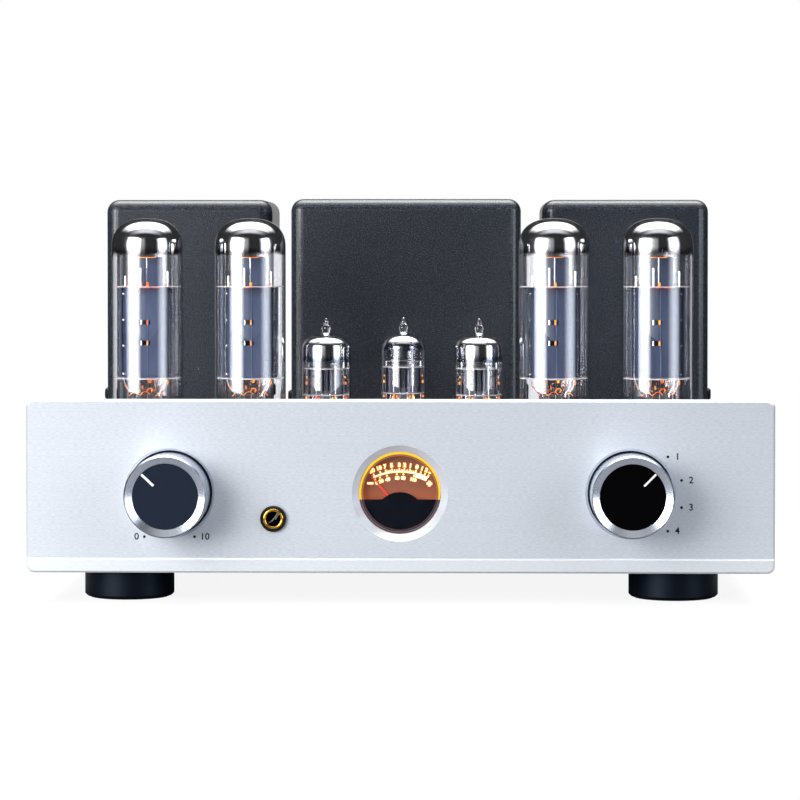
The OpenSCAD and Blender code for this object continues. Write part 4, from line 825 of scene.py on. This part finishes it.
# Place of each lit end, its start below the lower mica and its length; both ends and the drop of each loop.
LIT_ENDS = ((-7.4, -5.6, 0.5, 1.8), (-4.4, -7.0, 1.4, 2.4), (-1.6, -7.6, 3.0, 1.6), (4.6, -6.8, 1.0, 2.6),
            (6.8, -5.8, 3.6, 1.8), (9.6, -4.2, 0.6, 2.2), (2.6, -7.6, 4.6, 1.4), (-9.2, -4.4, 3.2, 1.4))
LIT_LOOPS = ((-7.6, -3.0, 6.4), (-2.6, 1.8, 6.0), (0.4, 3.4, 4.4), (4.6, 8.4, 6.6))
painted_glow_rings = [turned(GLOW_RING_PROFILE, z=height, steps=64) for height in (MICA_HIGH, MICA_LOW)]
heater = [rod(0.5, -3.9, MICA_HIGH + 0.4, MICA_HIGH + 2.0, 0.55),
          rod(-9.6, -1.6, MICA_HIGH + 0.9, MICA_HIGH + 2.6, 0.28),
          rod(9.4, -2.6, MICA_HIGH + 0.6, MICA_HIGH + 2.0, 0.25),
          # The bar along the fin box's top is a painted glow line, not a heater end.
          bar([(-3.6, fin_y - 0.2, fin_top), (4.4, fin_y - 0.2, fin_top)], 0.11)]
heater += [rod(0.7, -half_d + 1.0, low, high, 0.5) for low, high in windows]
heater.append(turned(HOT_DROP, 1.6, -7.4, MICA_LOW - 0.3, steps=16))
for u, v, fall, length in LIT_ENDS:
    start = MICA_LOW - fall
    heater.append(bar([(u, v, start), (u + 0.25, v - 0.2, start - length * 0.5), (u * 0.97, v, start - length)],
                      0.17))
for u0, u1, drop in LIT_LOOPS:
    top = MICA_LOW - drop
    heater.append(bar([(u0, -7.4, top - 1.4), (u0 * 0.7 + u1 * 0.3, -8.2, top),
                       (u0 * 0.3 + u1 * 0.7, -8.2, top + 0.3), (u1, -7.4, top - 0.9)], 0.13))

GLASS_RISE, GLASS_WALL, DOME_H = 3.0, 0.3, 13.3
SILVER_LOW, SILVER_EDGE, SILVER_SINK = 74.0, 78.6, 0.05
for number in range(1, 5):
    tube = f"power_tube_{number}"
    glass_low, glass_high = box_mm(tube + "_glass")
    middle = (glass_low + glass_high) / 2
    at = (middle.x, middle.y, glass_low.z - GLASS_RISE)
    glass_r = (glass_high.x - glass_low.x) / 2
    inner_r, rim = glass_r - GLASS_WALL, glass_high.z - at[2] - DOME_H

    silvering = flash(tube + "_silvering", at[2] + SILVER_EDGE, 5.0, tint(70, 52, 50))
    blow_bulb(tube, at, dome_profile(glass_r, rim, DOME_H), dome_profile(inner_r, rim, DOME_H - GLASS_WALL),
              dome_profile(inner_r + SILVER_SINK, rim, DOME_H - GLASS_WALL + SILVER_SINK),
              GLASS_RISE, SILVER_LOW, silvering)
    fit_in_tube(tube + "_plate", at, plate, plate_metal, replaces=[tube + "_mount"], crease=25)
    micas = [mica_disc(height, inner_r - 0.4, 72, 3, 0.955) for height in (MICA_LOW, MICA_HIGH)]
    for part, shapes, material in (
            ("_wings", wings, wing_metal), ("_fin_box", fin_box, plate_metal), ("_wires", nickel, bright_nickel),
            ("_micas", micas, mica), ("_warm_edges", painted_glow_rings, painted_glow_edge), ("_heater", heater, heater_and_painted_glints),
            ("_grid_rods", grid_rods, bright_nickel)):
        fit_in_tube(tube + part, at, shapes, material)
    stem = [(0, 3.2), (inner_r - 0.3, 3.2), (inner_r - 0.3, 4.0), (7.5, 6.4), (6.4, 9.0), (6.0, 12.6),
            (5.2, 13.8), (3.0, 14.4), (0, 14.6)]
    fit_in_tube(tube + "_stem", at, [turned(stem, steps=48)], stem_glass)


# Small tubes: miniature glass bulbs sealed on a button of nine pins, with a drawn-off tip. Two
# grey plates stand side by side between mica discs under a silvered dome.
small_plate, place = finish("small_plate", {"Metallic": 0.8})
feed(small_plate, Base_Color=place.grain(2.0, (1.0, 1.0, 4.0)).blend(tint(60, 62, 70), tint(104, 106, 116)),
     Roughness=place.grain(0.8) * 0.2 + 0.3)

SMALL_LOW, SMALL_HIGH = 12.8, 24.9
PLATE_X, FIN_XS, SUPPORT_X, PIN_RING_R = 4.4, (0.45, 8.2), 8.0, 5.95
SMALL_WALL, BUTTON_T, NECK_R, TIP_H, SKIRT_H = 0.4, 2.5, 2.6, 7.6, 4.0
TIP = ((2.35, 0.15), (1.75, 0.75), (1.7, 1.5), (2.0, 2.4), (2.05, 3.1), (1.75, 3.9), (1.25, 4.7), (1.05, 5.3),
       (1.0, 6.2), (0.7, 7.1), (0.35, 7.5))
small_plates, small_heater = [], []
small_wires = [rod(side * SUPPORT_X, 0, 2.0, SMALL_HIGH + 3.0, 0.35) for side in (-1, 1)]
small_wires.append(bar([(-SUPPORT_X, 0, SMALL_HIGH + 2.8), (-3, -1.5, SMALL_HIGH + 3.2),
                        (3, -1.5, SMALL_HIGH + 3.2), (SUPPORT_X, 0, SMALL_HIGH + 2.8)], 0.3))
for k in range(1, 10):
    turn = math.tau * k / 10
    u, v = PIN_RING_R * math.cos(turn), PIN_RING_R * math.sin(turn)
    small_wires.append(rod(u, v, -6.8, BUTTON_T + 2.0, 0.5))
    small_wires.append(bar([(u, v, BUTTON_T + 1.8), (u * 1.15, v * 0.9, 8.0),
                            (u * 0.95, v * 0.6, SMALL_LOW + 0.6)], 0.28))
for side in (-1, 1):
    small_wires.append(rod(side * PLATE_X, -3.1, SMALL_LOW + 0.6, SMALL_HIGH + 1.4, 0.3))
    for middle_x, outline in ((PLATE_X, rounded_box(7.0, 5.5, 2.0)),
                              *((fin_x, rounded_box(0.5, 6.6, 0.2)) for fin_x in FIN_XS)):
        small_plates.append(slab([(side * middle_x + u, v) for u, v in outline],
                                 SMALL_LOW + MICA_T, SMALL_HIGH, "Z"))
    small_heater += [
        bar([(side * 4.2, -1.4, SMALL_LOW - 3.2), (side * 4.4, -1.8, SMALL_LOW - 1.4),
             (side * 4.6, -1.2, SMALL_LOW - 0.1)], 0.42),
        bar([(side * 2.6, -3.4, SMALL_LOW - 2.4), (side * 3.2, -3.6, SMALL_LOW - 0.9)], 0.3),
        # These three short rods near the glass at each side are painted orange glints, not heater.
        rod(side * 8.9, -2.2, SMALL_LOW + 5.0, SMALL_LOW + 6.2, 0.35),
        rod(side * 8.6, -3.0, SMALL_LOW + 8.0, SMALL_LOW + 8.7, 0.3),
        rod(side * 9.0, -1.6, SMALL_LOW - 1.6, SMALL_LOW - 0.6, 0.4)]

for tube, dome_h, flash_z, ragged in (("driver_tube_left", 6.3, 28.4, 2.0), ("input_tube", 8.4, 33.4, 2.5),
                                      ("driver_tube_right", 6.3, 28.4, 2.0)):
    glass_low, glass_high = box_mm(tube + "_glass")
    middle = (glass_low + glass_high) / 2
    at = (middle.x, middle.y, glass_low.z)
    glass_r = (glass_high.x - glass_low.x) / 2
    inner_r, tip_top = glass_r - SMALL_WALL, glass_high.z - at[2]
    crown = tip_top - TIP_H
    rim = crown - dome_h

    shoulder = [point for point in dome_profile(glass_r, rim, dome_h) if point[0] > NECK_R]
    tip = [(radius, crown + height) for radius, height in TIP] + [(0, tip_top)]
    silvering = flash(tube + "_silvering", at[2] + flash_z, ragged, tint(66, 78, 108))
    blow_bulb(tube, at, shoulder + tip, dome_profile(inner_r, rim, dome_h - SMALL_WALL),
              dome_profile(inner_r + SILVER_SINK, rim, dome_h - SMALL_WALL + SILVER_SINK),
              0.0, flash_z - SKIRT_H, silvering)
    fit_in_tube(tube + "_plates", at, small_plates, small_plate, replaces=[tube + "_mount"], crease=25)
    micas = [mica_disc(height, inner_r - 0.3, 64, 4, 0.93) for height in (SMALL_LOW, SMALL_HIGH)]
    fit_in_tube(tube + "_micas", at, micas, mica)
    fit_in_tube(tube + "_wires", at, small_wires, bright_nickel)
    fit_in_tube(tube + "_heater", at, small_heater, heater_and_painted_glints)
    button = [(0, 0.1), (inner_r - 0.15, 0.1), (inner_r - 0.15, 1.4), (inner_r - 1.6, BUTTON_T), (0, BUTTON_T)]
    fit_in_tube(tube + "_button", at, [turned(button, steps=48)], stem_glass)


# Back: moulded inlet and rocker switch, gold-plated posts with fluted caps, and gold input
# jacks, each on insulating washers. Plain figures mark the rows.
dress(moulded, "mains_inlet", "power_switch", "post_insulators")
rocker_plastic = grained("rocker_plastic", {}, 3.0, tint(20, 20, 22), tint(34, 34, 37),
                         (0.6, 0.12, 0.26))
dress(rocker_plastic, "power_rocker")
dress(gold, "post_studs", "input_jacks")

for colour_name, dark, light, caps in (("cap_black", tint(14, 14, 15), tint(30, 30, 32), (1, 4)),
                                       ("cap_red", tint(142, 14, 16), tint(182, 26, 24), (2, 3, 5, 6))):
    cap_plastic = grained(colour_name, {}, 2.5, dark, light, (0.5, 0.15, 0.24))
    dress(cap_plastic, *(f"post_cap_{i}" for i in caps))

ROW_FIGURE_H, SWITCH_FIGURE_H = 3.2, 2.8
OVER_POST, OVER_JACKS, JACK_PITCH, OFF_ROCKER = 12.0, 4.0, 20.0, 15.5
white_ink = grained("back_ink", {"Roughness": 0.55}, 0.8, tint(206, 208, 210), tint(228, 230, 232))
back_y = box_mm("chassis_shell")[1].y
jacks_low, jacks_high = box_mm("input_jacks")
jacks_x = (jacks_low.x + jacks_high.x) / 2
rocker_at = centre_of("power_rocker")
back_figures = []
for index, figure in enumerate(("0", "4", "8", "0", "4", "8")):
    cap_at = centre_of(f"post_cap_{index + 1}")
    back_figures.append((figure, ROW_FIGURE_H, cap_at.x, cap_at.z + OVER_POST))
for index in (-1, 0, 1):
    back_figures.append((str(index + 2), ROW_FIGURE_H, jacks_x + JACK_PITCH * index, jacks_high.z + OVER_JACKS))
for figure, rise in (("1", OFF_ROCKER), ("0", -OFF_ROCKER)):
    back_figures.append((figure, SWITCH_FIGURE_H, rocker_at.x, rocker_at.z + rise))
piece("back_marks", [lettering(*figure, back_y, INK_FILM, back=True) for figure in back_figures],
      white_ink, "chassis")


# Studio: a pale floor that runs up to a white backdrop, a tall soft light at each side of the
# camera, a wide one overhead and a grey wall to the left.
WHITE = (1.0, 1.0, 1.0, 1.0)


def lamp(name, place_at, target, wide, tall, radiance, colour, soft):
    """Softbox that fades out towards its left and right edges and is half as bright at this width."""
    light = bpy.data.lights.new(name, "AREA")
    light.shape = "RECTANGLE"
    light.size, light.size_y = wide / (1 - soft), tall
    light.energy = radiance * math.pi * light.size * tall
    light.color = colour
    light.use_nodes = True
    tree = light.node_tree
    across = Wire(tree.nodes.new("ShaderNodeNewGeometry").outputs["Parametric"]).axis("X")
    strength = across.step(0.0, soft) * (1 - across.step(1 - soft, 1.0))
    tree.links.new(strength.socket, tree.nodes["Emission"].inputs["Strength"])
    made = bpy.data.objects.new(name, light)
    made.visible_camera = False
    made.location = place_at
    made.rotation_euler = (Vector(target) - Vector(place_at)).to_track_quat("-Z", "Y").to_euler()
    bpy.context.scene.collection.objects.link(made)


lamp("left_light", (-0.86, -0.99, 0.42), (0.0, -0.08, 0.36), 0.84, 0.80, 8.85, (1.0, 1.0, 1.0), 0.32)
lamp("right_light", (1.03, -0.80, 0.42), (0.0, -0.08, 0.36), 0.54, 0.80, 5.6, (0.90, 0.95, 1.0), 0.5)


def seen_straight(tree):
    """Two wires: 1 for what is seen straight or through glass, and 1 for what is seen in a gloss."""
    ray = tree.nodes.new("ShaderNodeLightPath").outputs
    bounced = (Wire(ray["Glossy Depth"]) + Wire(ray["Diffuse Depth"])).step(0.0, 0.5)
    through = Wire(ray["Is Transmission Ray"]) * (1 - bounced)
    return Wire(ray["Is Camera Ray"]).maths("MAXIMUM", through), Wire(ray["Is Glossy Ray"])


FLOOR_HALF, DULL_FROM, WHITE_FROM = 6, (300.0, 480.0), (230.0, 420.0)
floor_mesh = bpy.data.meshes.new("floor")
floor_mesh.from_pydata([(FLOOR_HALF * u, FLOOR_HALF * v, 0) for u, v in ((-1, -1), (1, -1), (1, 1), (-1, 1))],
                       [], [(0, 1, 2, 3)])
floor = bpy.data.objects.new("floor", floor_mesh)
bpy.context.scene.collection.objects.link(floor)
floor_paint, place = finish("floor_paint", {"Roughness": 0.9, "Specular IOR Level": 0.0})
tree = floor_paint.node_tree
seen, _ = seen_straight(tree)
away = place.node("VectorMath", {"operation": "LENGTH"}, {0: place}, out=1)
dull = away.step(*DULL_FROM).blend((0.16, 0.16, 0.17, 1.0), (0.02, 0.02, 0.023, 1.0))
feed(floor_paint, Base_Color=seen.blend(dull, (0.9, 0.9, 0.9, 1.0)))
white = seen.node("Emission", None, {"Color": WHITE, "Strength": 1.0})
paint = Wire(tree.nodes["Principled BSDF"].outputs[0])
share = seen * (away.step(*WHITE_FROM) * 0.1 + 0.9)
tree.links.new(seen.node("MixShader", None, {0: share, 1: paint, 2: white}).socket,
               tree.nodes["Material Output"].inputs["Surface"])
floor_mesh.materials.append(floor_paint)
floor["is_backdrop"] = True

DEGREE = math.pi / 180
world = bpy.data.worlds.new("studio")
world.use_nodes = True
bpy.context.scene.world = world
tree = world.node_tree
seen, mirrored = seen_straight(tree)
direction = Wire(tree.nodes.new("ShaderNodeTexCoord").outputs["Generated"])
right, back, up = (direction.axis(letter) for letter in "XYZ")
front = 0 - back
bearing = right.maths("ARCTAN2", front) / DEGREE
rise = up.maths("ARCTAN2", front) / DEGREE
ceiling = rise.step(50.0, 64.0) * 1.2 + rise.step(80.0, 92.0) * 9.0
ceiling = ceiling * (1 - rise.step(116.0, 134.0)) * (1 - right.maths("ABSOLUTE").step(0.15, 0.8))
grey_wall = bearing.step(-75.0, -30.0) * (1 - bearing.step(-8.0, 3.0)) * (1 - up.step(0.35, 0.6))
fade = (1 - bearing.step(-36.0, -8.0)) * 2.6 + 0.65
room = ceiling + grey_wall * fade * 0.72 + 0.04
shown = seen.maths("MAXIMUM", mirrored * back.step(0.972, 0.995))
tree.links.new((shown + (1 - shown) * room).socket, tree.nodes["Background"].inputs["Strength"])
tree.nodes["Background"].inputs["Color"].default_value = WHITE

LENS_MM, SENSOR_MM = 143.33, 36.0
TILT_DOWN, TURN_LEFT = math.radians(1.345), math.radians(1.27)
view = bpy.data.cameras.new("photo_view")
view.lens = LENS_MM
view.sensor_width = SENSOR_MM
view.clip_end = 50.0
view.shift_y = -0.094
camera = bpy.data.objects.new("photo_view", view)
camera.location = (0.0312, -1.524, 0.1554)
camera.rotation_euler = (math.pi / 2 - TILT_DOWN, 0.0, TURN_LEFT)
bpy.context.scene.collection.objects.link(camera)
bpy.context.scene.camera = camera
bpy.context.scene.view_settings.view_transform = "Standard"

low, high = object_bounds()
